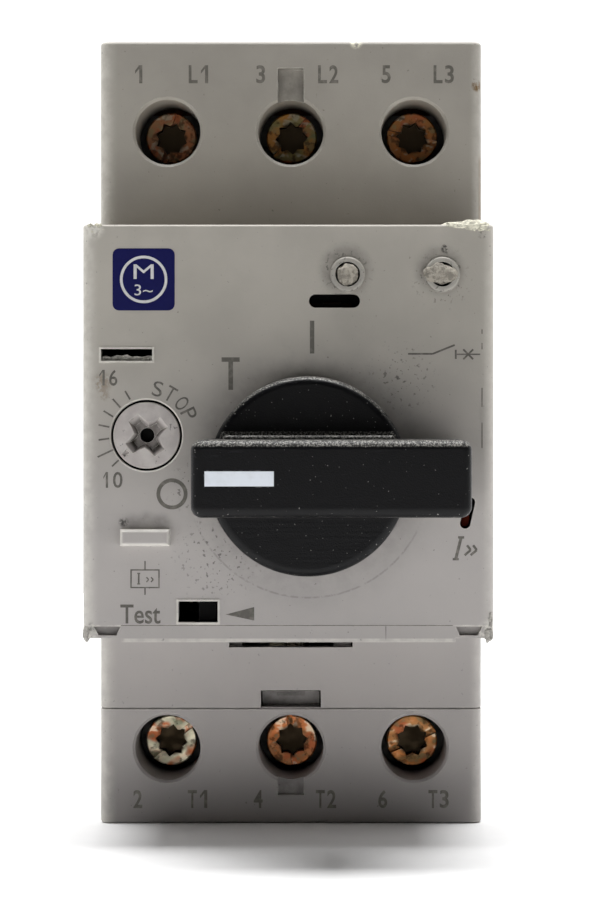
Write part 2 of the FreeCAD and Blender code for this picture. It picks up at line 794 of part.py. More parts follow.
def terminal_cuts(housing, name, z, entry_span):
    """The screwdriver wells and the wire entries of one row of terminals."""
    wells = [disc(pole(number), z, "well_diameter/2") for number in POLES]
    housing.pocket(f"{name}_wells", FRONT, (f"{HEAD_BACK} - seat_gap", "case_front"), *wells)
    entry = (f"{CLAMP_FLOOR} - wire_entry_margin", f"{BAR_BACK} + wire_entry_margin")
    housing.pocket(f"{name}_entries", TOP_VIEW, entry_span, *[
        rectangle(about(pole(number), "wire_entry_width/2"), entry) for number in POLES])
    housing.chamfer(f"{name}_well_rims", "well_chamfer", circle_at("case_front", "well_diameter/2"))


def entry_edges(z):
    """The outer rims of the wire entries on the top or bottom face."""
    def wanted(edge):
        x, level, height = spot(edge)
        inner_x = value(INSIDE)
        deep_enough = value(f"{CLAMP_FLOOR} - wire_entry_margin") - 1e-4 < level
        shallow = level < value(f"{BAR_BACK} + wire_entry_margin") + 1e-4
        return near(height, z) and abs(x) < inner_x and deep_enough and shallow
    return wanted


def parting_line(seam, end, inner_end):
    """The shadow line round the back rim of a housing, open at its seam."""
    half = "case_width/2"
    inner = f"({half} - seam_depth)"
    return outline((f"-{half}", seam), (f"-{half}", end), (half, end), (half, seam),
                   (inner, seam), (inner, inner_end), (f"-{inner}", inner_end), (f"-{inner}", seam))


def make_main_housing():
    housing = Moulding("main_housing")
    half = "case_width/2"
    housing.pad("shell", FRONT, ("split_level", "case_front"), rectangle(about("0", half), (SEAM, TOP)))
    housing.fillet("front_edges", "case_round", upright_at(half, "case_front"))
    housing.fillet("top_rim", "case_corner", end_rim(TOP, "split_level"))
    housing.pocket("parting_groove", FRONT, ("split_level", "split_level + seam_groove"),
                   parting_line(SEAM, TOP, f"{TOP} - seam_depth"))
    inside = about("0", INSIDE)
    housing.pocket("hollow", FRONT, ("split_level", HOUSING_WALL),
                   rectangle(inside, (f"{SEAM} + case_wall", RIB_BOTTOM)))
    chambers = [rectangle(about(pole(number), CHAMBER_HALF), (RIB_TOP, "case_height/2 - case_wall"))
                for number in POLES]
    housing.pocket("line_chambers", FRONT, ("split_level", HEAD_BACK), *chambers)
    bar_room = "bar_width/2 + slide_gap"
    housing.pocket("line_bar_ways", FRONT, ("split_level", BAR_SEAT), *[
        rectangle(about(pole(number), bar_room), (RIB_BOTTOM, RIB_TOP)) for number in POLES])
    housing.pocket("load_bar_ways", FRONT, ("split_level", BAR_SEAT), *[
        rectangle(about(pole(number), bar_room), (SEAM, f"{SEAM} + case_wall")) for number in POLES])
    terminal_cuts(housing, "line", LINE_Z, ("case_height/2 - 2*case_wall", "case_height/2"))
    housing.chamfer("line_entry_flares", "wire_entry_flare", entry_edges(TOP))
    housing.pocket("marker_recess", FRONT, ("case_front - marker_depth", "case_front"),
                   rectangle(about("0", "marker_width/2"), (LINE_Z, "case_height/2 - line_marker_inset")))
    housing.pocket("hook_window", FRONT, ("case_front - hook_window_depth", "case_front"),
                   rectangle(about("0", "hook_window_width/2"), (SEAM, f"{SEAM} + hook_window_height")))
    housing.pocket("slit", FRONT, (HOUSING_WALL, "case_front"),
                   rectangle(about("0", "slit_width/2"),
                             ("-cover_height/2 - slit_height", "-cover_height/2")))
    arm = (f"{ARM_LEFT} - slide_gap", f"{ARM_LEFT} + carrier_arm + slide_gap")
    arm_way = (f"{ARM_LOW} - carrier_travel - 2*slide_gap", f"{ARM_TOP} + 2*slide_gap")
    leg = (f"{TEST_LEG_LEFT} - test_travel - slide_gap", f"{TEST_LEG_LEFT} + test_leg + slide_gap")
    leg_way = (f"{TEST_LEG_LOW} - slide_gap", f"{TEST_LEG_HIGH} + slide_gap")
    housing.pocket("mechanism_ways", FRONT, (HOUSING_WALL, "case_front"),
                   rectangle(arm, arm_way), rectangle(leg, leg_way),
                   disc(DIAL_X, DIAL_Z, "dial_spindle + fit_gap"))
    rim_x = f"(min({COVER_IN_X}; case_width/2 - case_round) - seat_gap)"
    rim_z = f"({COVER_IN_Z} - seat_gap)"
    rim_in_x, rim_in_z = f"({rim_x} - spigot_thick)", f"({rim_z} - spigot_thick)"
    housing.pad("cover_spigot", FRONT, ("case_front", "case_front + spigot_height"),
                rectangle(about("0", rim_x), (rim_in_z, rim_z)),
                rectangle((f"-{rim_x}", f"-{rim_in_x}"), about("0", f"{rim_in_z} - spigot_thick")),
                rectangle((rim_in_x, rim_x), about("0", f"{rim_in_z} - spigot_thick")))
    beside_leg = f"{TEST_LEG_LEFT} + test_leg + 2*slide_gap + guide_width/2"
    housing.pad("slide_guides", FRONT, ("slide_back", HOUSING_WALL), *[
        rectangle(about(x, "guide_width/2"), (f"{SEAM} + case_wall", f"{SLIDE_BOTTOM} - seat_gap"))
        for x in ("guide_x", beside_leg)])
    housing.pad("lever_pin", FRONT, ("slide_back - slide_gap", HOUSING_WALL),
                disc("lever_x", LEVER_Z, "lever_pin"))
    housing.pad("snap_tongues", FRONT, ("split_level - snap_length", "split_level"),
                *tongue_shapes(("upper", "middle"), "0"))


def make_load_block():
    block_body = Moulding("load_terminal_housing")
    half = "case_width/2"
    block_body.pad("shell", FRONT, ("split_level", "case_front"),
                   rectangle(about("0", half), (BOTTOM, SEAM)))
    block_body.fillet("front_edges", "case_round", upright_at(half, "case_front"))
    block_body.fillet("bottom_rim", "case_corner", end_rim(BOTTOM, "split_level"))
    block_body.pocket("parting_groove", FRONT, ("split_level", "split_level + seam_groove"),
                      parting_line(SEAM, BOTTOM, f"{BOTTOM} + seam_depth"))
    groove_z = (f"{SEAM} - seam_groove", SEAM)
    block_body.pocket("front_seam", FRONT, ("case_front - seam_depth", "case_front"),
                      rectangle(about("0", half), groove_z))
    block_body.pocket("side_seams", FRONT, ("split_level", "case_front"),
                      rectangle((f"-{half}", f"seam_depth - {half}"), groove_z),
                      rectangle((f"{half} - seam_depth", half), groove_z))
    block_body.pocket("load_chambers", FRONT, ("split_level", HEAD_BACK), *[
        rectangle(about(pole(number), CHAMBER_HALF), ("case_wall - case_height/2", SEAM))
        for number in POLES])
    terminal_cuts(block_body, "load", LOAD_Z, ("-case_height/2", "2*case_wall - case_height/2"))
    block_body.chamfer("load_entry_flares", "wire_entry_flare", entry_edges(BOTTOM))
    block_body.pocket("marker_recess", FRONT, ("case_front - marker_depth", "case_front"),
                      rectangle(about("0", "marker_width/2"), ("load_marker_inset - case_height/2", LOAD_Z)))
    hook_front = "case_front - hook_sink"
    hook_back, hook_top = f"{hook_front} - hook_depth", f"{SEAM} + hook_window_height - slide_gap"
    block_body.pad("snap_hook", SIDE_VIEW, about("0", "hook_window_width/2 - slide_gap"), outline(
        (hook_back, SEAM), (f"{hook_front} - hook_slant", SEAM),
        (hook_front, hook_top), (hook_back, hook_top)))
    block_body.pad("snap_tongues", FRONT, ("split_level - snap_length", "split_level"),
                   *tongue_shapes(("load",), "0"))


def make_front_cover():
    cover = Moulding("front_cover")
    half_x, half_z = "cover_width/2", "cover_height/2"
    cover.pad("shell", FRONT, ("case_front", "cover_front"),
              rectangle(about("0", half_x), about("0", half_z)))
    cover.fillet("side_edges", "cover_round", upright_at(half_x, "cover_front"))
    cover.fillet("top_rim", "cover_corner", end_rim(half_z, "case_front"))
    cover.fillet("bottom_rim", "cover_corner", end_rim(f"-{half_z}", "case_front"))
    cover.pocket("hollow", FRONT, ("case_front", COVER_BACK),
                 rectangle(about("0", COVER_IN_X), about("0", COVER_IN_Z)))
    cover.pocket("lower_strip", FRONT, ("cover_front - strip_step", "cover_front"),
                 rectangle(about("0", half_x), (f"-{half_z}", f"-{half_z} + strip_height")))
    near, far = "(cover_width/2 - notch_inner_inset)", "(cover_width/2 - notch_outer_inset)"
    top, bottom = "notch_top_inset - cover_height/2", "notch_bottom_inset - cover_height/2"
    notches = [outline((f"{side}*{near}", top), (f"{side}*{far}", top),
                       (f"{side}*({far} - notch_slant)", bottom),
                       (f"{side}*({near} + notch_slant)", bottom)) for side in (-1, 1)]
    cover.pocket("corner_notches", FRONT, ("cover_front - notch_depth", "cover_front"), *notches)
    step_z = (f"-{half_z}", f"-{half_z} + corner_step")
    cover.pocket("corner_steps", FRONT, ("case_front", "cover_front"),
                 rectangle((f"-{half_x}", f"-{near}"), step_z), rectangle((near, half_x), step_z))
    cover.pad("knob_boss", FRONT, (BOSS_BACK, COVER_BACK), disc("knob_x", KNOB_Z, "boss_radius"))
    cover.pad("boss_shoulder", FRONT, (f"{COVER_BACK} - boss_shoulder", COVER_BACK),
              disc("knob_x", KNOB_Z, "boss_shoulder_radius"))
    cover.pad("seal_rings", FRONT, ("cover_front", "cover_front + seal_ring_rise"), *[
        disc(x, SEAL_Z, "seal_ring_diameter/2") for x in (SEAL_NEAR_X, SEAL_FAR_X)])
    cover.fillet("seal_ring_rims", "edge_round",
                 circle_at("cover_front + seal_ring_rise", "seal_ring_diameter/2"))
    cover.pad("face_tab", FRONT, ("cover_front", "cover_front + tab_rise"),
              rectangle(about(TAB_X, "tab_length/2"), about(TAB_Z, "tab_width/2")))
    cover.fillet("tab_edges", "tab_round", tab_edge)
    cover.pad("slider_rail", FRONT, (TEST_BACK, COVER_BACK),
              rectangle((f"{TEST_LEFT} - test_travel", f"{TEST_SLOT_RIGHT} + test_plate_length"),
                        (f"{TEST_HIGH} + seat_gap", f"{TEST_HIGH} + seat_gap + slider_rail_height")))
    wall = (COVER_BACK, "cover_front")
    cover.pocket("knob_bore", FRONT, (BOSS_BACK, "cover_front"),
                 disc("knob_x", KNOB_Z, "shaft_radius + fit_gap"))
    cover.pocket("dial_hole", FRONT, wall, disc(DIAL_X, DIAL_Z, "dial_radius + dial_gap"))
    cover.chamfer("dial_hole_rim", "slot_rim_rise", circle_at("cover_front", "dial_radius + dial_gap"))
    cover.pocket("lock_slot", FRONT, wall, round_slot(
        ("lock_slot_x - lock_slot_length/2 + lock_slot_width/2", LOCK_SLOT_Z),
        ("lock_slot_x + lock_slot_length/2 - lock_slot_width/2", LOCK_SLOT_Z), "lock_slot_width/2"))
    rim_wall = (COVER_BACK, "cover_front + slot_rim_rise")
    cover.pad("slot_rims", FRONT, ("cover_front", "cover_front + slot_rim_rise"),
              rectangle(about(LABEL_SLOT_X, "label_slot_width/2"),
                        about("label_slot_z", "label_slot_height/2")),
              rectangle((f"{TEST_SLOT_LEFT} - slot_rim", f"{TEST_SLOT_RIGHT} + slot_rim"),
                        (f"{TEST_SLOT_BOTTOM} - slot_rim", f"{TEST_SLOT_TOP} + slot_rim")))
    cover.pocket("label_slot", FRONT, rim_wall, rectangle(
        about(LABEL_SLOT_X, "label_slot_width/2 - slot_rim"),
        about("label_slot_z", "label_slot_height/2 - slot_rim")))
    cover.pocket("seal_bores", FRONT, (COVER_BACK, "cover_front + seal_ring_rise"), *[
        disc(x, SEAL_Z, "seal_plug_diameter/2 + seat_gap") for x in (SEAL_NEAR_X, SEAL_FAR_X)])
    cover.pocket("test_slot", FRONT, rim_wall, rectangle(
        (TEST_SLOT_LEFT, TEST_SLOT_RIGHT), (TEST_SLOT_BOTTOM, TEST_SLOT_TOP)))
    cover.pocket("flag_slot", FRONT, wall, round_slot(
        from_knob(FLAG_RADIUS, "flag_slot_bottom_angle"), from_knob(FLAG_RADIUS, "flag_slot_top_angle"),
        "flag_slot_width/2"))


def tab_edge(edge):
    """The front rim of the lug on the cover's face."""
    x, level, _ = spot(edge)
    beside = abs(x - value(TAB_X)) < value("tab_length/2") + 1e-4
    return near(level, "cover_front + tab_rise") and beside


def make_seal_plugs():
    span = (COVER_BACK, "cover_front + seal_ring_rise + seal_plug_rise")
    plugs = [forward_rod(f"seal_plug_{side}", x, SEAL_Z, "seal_plug_diameter/2", span)
             for side, x in (("near", SEAL_NEAR_X), ("far", SEAL_FAR_X))]
    node("seal_plugs", *plugs)


# Rail latch

def make_rail_latch():
    latch = Moulding("rail_latch")
    neck, flange = about("0", "latch_neck/2"), about("0", "latch_width/2")
    latch.pad("slide", TOP_VIEW, (f"{BOTTOM} + latch_travel + latch_tuck", f"-{LIP}"), outline(
        (neck[0], LATCH_BACK), (neck[1], LATCH_BACK), (neck[1], FLANGE_BACK), (flange[1], FLANGE_BACK),
        (flange[1], FLANGE_FRONT), (flange[0], FLANGE_FRONT), (flange[0], FLANGE_BACK),
        (neck[0], FLANGE_BACK)))
    latch.pocket("spring_window", FRONT, (LATCH_BACK, FLANGE_FRONT),
                 rectangle(about("0", "latch_window/2"), (f"{LATCH_LUG} - seat_gap", LATCH_WINDOW_TOP)))
    latch.pocket("snap_ramp", SIDE_VIEW, about("0", "latch_width"), outline(
        (LATCH_BACK, f"-{LIP}"), (LATCH_BACK, f"-{LIP} - latch_ramp"),
        (f"{LATCH_BACK} + latch_ramp", f"-{LIP}")))
    latch.pocket("pull_slot", FRONT, (LATCH_BACK, FLANGE_BACK), rectangle(
        about("0", "latch_window/2"), (f"{BOTTOM} + latch_travel + 2*latch_tuck + slide_gap",
                                       f"{BOTTOM} + latch_travel + 2*latch_tuck + latch_lip")))


def make_rail_latch_spring():
    level = f"({FLANGE_BACK} + latch_flange/2)"
    node("rail_latch_spring", coil("rail_latch_spring", "0", level, (LATCH_LUG_TOP, LATCH_WINDOW_TOP),
                                   "latch_spring_radius", "latch_spring_wire", LATCH_SPRING_TURNS))


# Terminals

def star_square(name, turn):
    """One of the two crossed squares that make the star in a screw's head."""
    square = doc.addObject("Part::Prism", name)
    square.Polygon = 4
    square.Placement = Placement(Vector(), Rotation(Vector(1, 0, 0), 90) * Rotation(Vector(0, 0, 1), turn))
    bind(square, "Circumradius", "screw_star/2")
    bind(square, "Height", "2*screw_star_depth")
    bind(square, "Placement.Base.y", "screw_star_depth - screw_head_height")
    return square


def make_screw(label, number, z, angle):
    """A clamp screw with a slot and a star in its head, turned to the angle its slot shows."""
    axis = ("0", "0")
    head = forward_rod(f"{label}_head", *axis, "screw_head_diameter/2", ("0", "screw_head_height"))
    rim = doc.addObject("Part::Chamfer", f"{label}_rim")
    rim.Base = head
    doc.recompute()
    chamfer = value("screw_head_chamfer")
    is_front_rim = circle_at("screw_head_height", "screw_head_diameter/2")
    front_rim = [index for index, edge in enumerate(head.Shape.Edges, 1) if is_front_rim(edge)]
    rim.Edges = [(index, chamfer, chamfer) for index in front_rim]
    shank = forward_rod(f"{label}_shank", *axis, "screw_diameter/2",
                        (f"{BAR_FRONT} + fit_gap - {HEAD_BACK}", "0"))
    blank = join(f"{label}_blank", rim, shank)
    across = about("0", "screw_head_diameter")
    slot_depth = ("screw_head_height - screw_slot_depth", "screw_head_height + screw_slot_depth")
    slot = block(f"{label}_slot", across, slot_depth, about("0", "screw_slot/2"))
    star = [star_square(f"{label}_star_{turn}", turn) for turn in (0, 45)]
    screw = cut(label, blank, slot, *star)
    screw.Placement = Placement(Vector(), Rotation(Vector(0, 1, 0), -angle))
    bind(screw, "Placement.Base.x", pole(number))
    bind(screw, "Placement.Base.y", f"-{HEAD_BACK}")
    bind(screw, "Placement.Base.z", z)
    node(label, screw)


def make_clamp(label, number, z):
    """A rising clamp: a rectangular ring round the bar, with the screw through its front wall."""
    x, height = pole(number), about(z, "clamp_height/2")
    ring = block(f"{label}_ring", about(x, "clamp_width/2"), (CLAMP_BACK, CLAMP_FRONT), height)
    window = block(f"{label}_window", about(x, "clamp_width/2 - clamp_wall"),
                   (CLAMP_FLOOR, f"{BAR_FRONT} + slide_gap"), about(z, "clamp_height"))
    thread = forward_rod(f"{label}_thread", x, z, "screw_diameter/2 + fit_gap",
                         (BAR_FRONT, f"{CLAMP_FRONT} + clamp_wall"))
    node(label, cut(label, ring, window, thread))


def make_terminals():
    for number, angle in zip(POLES, LINE_SCREW_ANGLES):
        make_screw(f"line_screw_{number}", number, LINE_Z, angle)
        make_clamp(f"line_clamp_{number}", number, LINE_Z)
    for number, angle in zip(POLES, LOAD_SCREW_ANGLES):
        make_screw(f"load_screw_{number}", number, LOAD_Z, angle)
        make_clamp(f"load_clamp_{number}", number, LOAD_Z)


# Current path

def make_line_bars():
    bars = []
    for number in POLES:
        across = about(pole(number), "bar_width/2")
        strip = block(f"line_strip_{number}", across, (BAR_BACK, BAR_FRONT),
                      (FOOT_BOTTOM, f"{LINE_Z} + bar_reach"))
        foot = block(f"line_foot_{number}", across, (f"{FRONT_TIP} - tip_length/2", BAR_FRONT),
                     (FOOT_BOTTOM, FOOT_TOP))
        bars.append(join(f"line_bar_{number}", strip, foot))
    node("line_bars", *bars)


def make_coil_bars():
    bars = []
    back = "(floor_level + seat_gap)"
    for number in POLES:
        across = about(pole(number), "tip_width/2 + bar_thick")
        foot = block(f"coil_foot_{number}", across, (back, f"{BACK_TIP} + tip_length/2"),
                     (FOOT_BOTTOM, FOOT_TOP))
        riser = block(f"coil_riser_{number}", across, (back, f"{back} + bar_thick"), (YOKE_TOP, FOOT_TOP))
        tab = block(f"coil_tab_{number}", across, (back, "bridge_level - coil_radius - slide_gap"),
                    (YOKE_TOP, f"{YOKE_TOP} + bar_thick"))
        bars.append(join(f"coil_bar_{number}", foot, riser, tab))
    node("coil_bars", *bars)


def make_contact_tips():
    fixed, moving = [], []
    for number in POLES:
        across = about(pole(number), "tip_width/2")
        for place, level in (("front", FRONT_TIP), ("back", BACK_TIP)):
            depth = about(level, "tip_length/2")
            fixed.append(block(f"fixed_tip_{place}_{number}", across, depth, (FOOT_TOP, CONTACT_Z)))
            moving.append(block(f"moving_tip_{place}_{number}", across, depth, (MOVING_TIP, BRIDGE_LOW)))
    node("fixed_contact_tips", *fixed)
    node("moving_contact_tips", *moving)


def make_contact_bridges():
    node("contact_bridges", *[
        block(f"bridge_{number}", about(pole(number), "bridge_width/2"),
              about("bridge_level", "bridge_length/2"), (BRIDGE_LOW, BRIDGE_TOP)) for number in POLES])


def make_contact_springs():
    node("contact_springs", *[
        coil(f"contact_spring_{number}", pole(number), "bridge_level", (BRIDGE_TOP, CARRIER_LOW),
             "contact_spring_radius", "spring_wire", CONTACT_SPRING_TURNS) for number in POLES])


def make_opening_springs():
    node("opening_springs", *[
        coil(f"opening_spring_{name}", f"({side})*{PITCH}/2", "bridge_level",
             (OPENING_SEAT, CARRIER_LOW), "opening_spring_radius", "spring_wire", OPENING_SPRING_TURNS)
        for name, side in (("left", -1), ("right", 1))])


def make_contact_carrier():
    """The insulating frame that carries the three bridges, with a yoke for the crank pin."""
    depth = about("bridge_level", "carrier_depth/2")
    post_depth = about("bridge_level", "carrier_post_depth/2")
    bar = block("carrier_bar", about("0", f"{INSIDE} - 3*slide_gap"), depth, (CARRIER_LOW, CARRIER_TOP))
    pieces = [bar]
    inner, outer = "(bridge_width/2 + slide_gap)", "(bridge_width/2 + slide_gap + carrier_post)"
    hook_low = f"{BRIDGE_LOW} - carrier_hook"
    for number in POLES:
        x = pole(number)
        sides = {"left": (f"{x} - {outer}", f"{x} - {inner}"), "right": (f"{x} + {inner}", f"{x} + {outer}")}
        for side, span in sides.items():
            pieces.append(block(f"carrier_post_{side}_{number}", span, post_depth, (hook_low, CARRIER_LOW)))
        pieces.append(block(f"carrier_hook_{number}", about(x, outer), post_depth, (hook_low, BRIDGE_LOW)))
    arm_x = (ARM_LEFT, f"{ARM_LEFT} + carrier_arm")
    pieces.append(block("carrier_web", arm_x, (CARRIER_FRONT, f"{CARRIER_FRONT} + carrier_arm"),
                        (ARM_LOW, CARRIER_TOP)))
    pieces.append(block("carrier_arm", arm_x, (CARRIER_FRONT, YOKE_FRONT), (ARM_LOW, ARM_TOP)))
    plate = block("carrier_yoke", about(PIN_X, "yoke_width/2"), (YOKE_BACK, YOKE_FRONT),
                  (f"{PIN_Z} - yoke_rim", ARM_TOP))
    pin_way = block("carrier_pin_way", about(PIN_X, "pin_radius + yoke_rim/2"),
                    (f"{YOKE_BACK} - yoke_gap", f"{YOKE_FRONT} + yoke_gap"),
                    about(PIN_Z, "pin_radius + pin_play"))
    frame = join("carrier_frame", *pieces, plate)
    node("contact_carrier", cut("contact_carrier", frame, pin_way))


def make_arc_plates():
    """Stacks of notched splitter plates behind each rear contact."""
    plates = []
    back = "(floor_level + slide_gap)"
    half = f"({PITCH} - pole_wall)/2 - arc_plate_gap"
    for number in POLES:
        for row in range(ARC_PLATE_COUNT):
            low = f"({CONTACT_Z} + arc_plate_thick + {row}*arc_plate_pitch)"
            span = (low, f"{low} + arc_plate_thick")
            plate = block(f"arc_blank_{number}_{row}", about(pole(number), half),
                          (back, f"{back} + arc_plate_depth"), span)
            notch = block(f"arc_notch_{number}_{row}", about(pole(number), "arc_notch"),
                          (f"{back} + arc_plate_depth - arc_notch", f"{back} + 2*arc_plate_depth"), span)
            plates.append(cut(f"arc_plate_{number}_{row}", plate, notch))
    node("arc_plates", *plates)


# Magnetic release

def make_magnet_coils():
    turns = round(value(f"({COIL_TOP} - {COIL_BOTTOM} - coil_wire)/coil_pitch"))
    node("magnet_coils", *[
        coil(f"magnet_coil_{number}", pole(number), "bridge_level", (COIL_BOTTOM, COIL_TOP), "coil_radius",
             "coil_wire", turns) for number in POLES])


def make_coil_bobbins():
    bobbins = []
    for number in POLES:
        x, level = pole(number), "bridge_level"
        tube = upright_rod(f"bobbin_tube_{number}", x, level, f"{BORE_RADIUS} + bobbin_wall",
                           (YOKE_BOTTOM, YOKE_TOP))
        flange = "bobbin_flange_radius"
        low = upright_rod(f"bobbin_low_{number}", x, level, flange, (YOKE_BOTTOM, COIL_BOTTOM))
        high = upright_rod(f"bobbin_high_{number}", x, level, flange, (COIL_TOP, YOKE_TOP))
        bore = upright_rod(f"bobbin_bore_{number}", x, level, BORE_RADIUS,
                           (f"{YOKE_BOTTOM} - bobbin_wall", f"{YOKE_TOP} + bobbin_wall"))
        bobbins.append(cut(f"bobbin_{number}", join(f"bobbin_blank_{number}", tube, low, high), bore))
    node("coil_bobbins", *bobbins)


def make_magnet_yokes():
    """A bent steel strip round each coil, with the fixed core hanging into the bobbin."""
    yokes = []
    front = "(bridge_level + bobbin_flange_radius + slide_gap + yoke_plate)"
    upper_back = "(bridge_level - coil_radius + slide_gap)"
    for number in POLES:
        x = pole(number)
        across = about(x, "yoke_half_width")
        top_plate = block(f"yoke_top_{number}", across, (upper_back, front),
                          (YOKE_TOP, f"{YOKE_TOP} + yoke_plate"))
        low_plate = block(f"yoke_low_{number}", across, ("floor_level + seat_gap", front),
                          (f"{YOKE_BOTTOM} - yoke_plate", YOKE_BOTTOM))
        web = block(f"yoke_web_{number}", across, (f"{front} - yoke_plate", front),
                    (f"{YOKE_BOTTOM} - yoke_plate", f"{YOKE_TOP} + yoke_plate"))
        core = upright_rod(f"yoke_core_{number}", x, "bridge_level", "plunger_radius",
                           (CORE_BOTTOM, YOKE_TOP))
        bore = upright_rod(f"yoke_bore_{number}", x, "bridge_level", "striker_radius + slide_gap",
                           (f"{CORE_BOTTOM} - yoke_plate", f"{YOKE_TOP} + 2*yoke_plate"))
        blank = join(f"yoke_blank_{number}", top_plate, low_plate, web, core)
        yokes.append(cut(f"yoke_{number}", blank, bore))
    node("magnet_yokes", *yokes)


def make_plungers():
    for number in POLES:
        x = pole(number)
        body = upright_rod(f"plunger_body_{number}", x, "bridge_level", "plunger_radius",
                           (f"{YOKE_BOTTOM} + slide_gap", PLUNGER_TOP))
        striker = upright_rod(f"plunger_striker_{number}", x, "bridge_level", "striker_radius",
                              (PLUNGER_TOP, STRIKER_TOP))
        node(f"plunger_{number}", join(f"plunger_{number}", body, striker))


# Thermal release

def make_load_bars():
    bars = []
    foot = (LOAD_FOOT_LOW, f"{LOAD_FOOT_LOW} + bar_thick")
    for number in POLES:
        x = pole(number)
        across = about(x, "bar_width/2")
        strip = block(f"load_strip_{number}", across, (BAR_BACK, BAR_FRONT),
                      (f"{LOAD_Z} - bar_reach", foot[1]))
        sole = block(f"load_sole_{number}", across, ("bimetal_back", BAR_FRONT), foot)
        seat = block(f"load_seat_{number}", (f"{x} + bimetal_thick/2", f"{x} + bimetal_thick/2 + bar_thick"),
                     ("bimetal_back", "bimetal_back + bimetal_seat"), (foot[0], BIMETAL_TOP))
        bars.append(join(f"load_bar_{number}", strip, sole, seat))
    node("load_bars", *bars)


def make_bimetal_strips():
    node("bimetal_strips", *[
        block(f"bimetal_{number}", about(pole(number), "bimetal_thick/2"), ("bimetal_back", "bimetal_front"),
              (BIMETAL_LOW, BIMETAL_TOP)) for number in POLES])


def make_heater_windings():
    """The insulated heating wire, wound close round each bimetal strip."""
    windings = []
    level = ("heater_back", "heater_back + heater_length")
    long_level = ("heater_back - heater_wall", "heater_back + heater_length + heater_wall")
    for number in POLES:
        x = pole(number)
        half_in, half_out = "(bimetal_thick/2 + seat_gap)", "(bimetal_thick/2 + seat_gap + heater_wall)"
        low, high = f"{BIMETAL_LOW} - seat_gap", f"{BIMETAL_TOP} + seat_gap"
        sleeve = block(f"heater_sleeve_{number}", about(x, half_out), level,
                       (f"{low} - heater_wall", f"{high} + heater_wall"))
        core = block(f"heater_core_{number}", about(x, half_in), long_level, (low, high))
        grooves = []
        for turn in range(1, HEATER_TURNS):
            middle = f"heater_back + {turn}*heater_length/{HEATER_TURNS}"
            span = about(middle, "heater_groove/2")
            outer = block(f"heater_ring_{number}_{turn}", about(x, f"{half_out} + heater_wall"), span,
                          (f"{low} - 2*heater_wall", f"{high} + 2*heater_wall"))
            inner = block(f"heater_root_{number}_{turn}", about(x, f"{half_out} - heater_groove"), span,
                          (f"{low} - heater_wall + heater_groove", f"{high} + heater_wall - heater_groove"))
            grooves.append(cut(f"heater_groove_{number}_{turn}", outer, inner))
        windings.append(cut(f"heater_{number}", sleeve, core, *grooves))
    node("heater_windings", *windings)


# Trip train

def make_trip_slide():
    level = ("slide_back", SLIDE_FRONT)
    across = about("0", f"{INSIDE} - slide_travel - slide_margin")
    pieces = [block("slide_bar", across, level, (SLIDE_BOTTOM, SLIDE_TOP))]
    for number in POLES:
        right = f"({pole(number)} - bimetal_thick/2 - finger_gap)"
        pieces.append(block(f"slide_finger_{number}", (f"{right} - finger_width", right), level,
                            (f"{SLIDE_BOTTOM} - finger_drop", SLIDE_BOTTOM)))
    lever_side = "(lever_x + lever_arm/2 + slide_gap)"
    pieces.append(block("slide_lever_lug", (lever_side, f"{lever_side} + lug_width"), level,
                        (SLIDE_TOP, f"{SLIDE_TOP} + lug_height")))
    leg_side = f"({TEST_LEG_LEFT} - slide_gap)"
    pieces.append(block("slide_test_lug", (f"{leg_side} - lug_width", leg_side),
                        (SLIDE_FRONT, f"{HOUSING_WALL} - 2*slide_gap"), (SLIDE_BOTTOM, SLIDE_TOP)))
    node("trip_slide", join("trip_slide", *pieces))


def make_trip_lever():
    level = ("slide_back", SLIDE_FRONT)
    hub = forward_rod("lever_hub", "lever_x", LEVER_Z, "lever_hub", level)
    across = about("lever_x", "lever_arm/2")
    lower = block("lever_lower_arm", across, level, (f"{LEVER_Z} - lever_reach", LEVER_Z))
    upper = block("lever_upper_arm", across, level, (LEVER_Z, f"{LEVER_Z} + lever_rise"))
    bore = forward_rod("lever_bore", "lever_x", LEVER_Z, "lever_pin + fit_gap",
                       ("slide_back - slide_depth", f"{SLIDE_FRONT} + slide_depth"))
    node("trip_lever", cut("trip_lever", join("lever_blank", hub, lower, upper), bore))


def make_test_slider():
    nub_x = (TEST_LEFT, f"{TEST_SLOT_RIGHT} - slide_gap")
    plate = block("test_plate", (TEST_LEFT, f"{TEST_LEFT} + test_plate_length"), (TEST_BACK, TEST_FRONT),
                  (TEST_LOW, TEST_HIGH))
    nub = block("test_nub", nub_x, (TEST_BACK, "cover_front - test_nub_sink"),
                (f"{TEST_SLOT_BOTTOM} + slide_gap", f"{TEST_SLOT_TOP} - slide_gap"))
    leg = block("test_leg", (TEST_LEG_LEFT, f"{TEST_LEG_LEFT} + test_leg"),
                (f"{SLIDE_FRONT} + 2*slide_gap", FACE_UNDER), (TEST_LEG_LOW, TEST_LEG_HIGH))
    neck = block("test_neck", (TEST_LEG_LEFT, f"{TEST_LEG_LEFT} + test_leg"),
                 (FACE_UNDER, TEST_BACK), (f"{TEST_LOW} + slide_gap", TEST_HIGH))
    node("test_slider", join("test_slider", plate, nub, leg, neck))


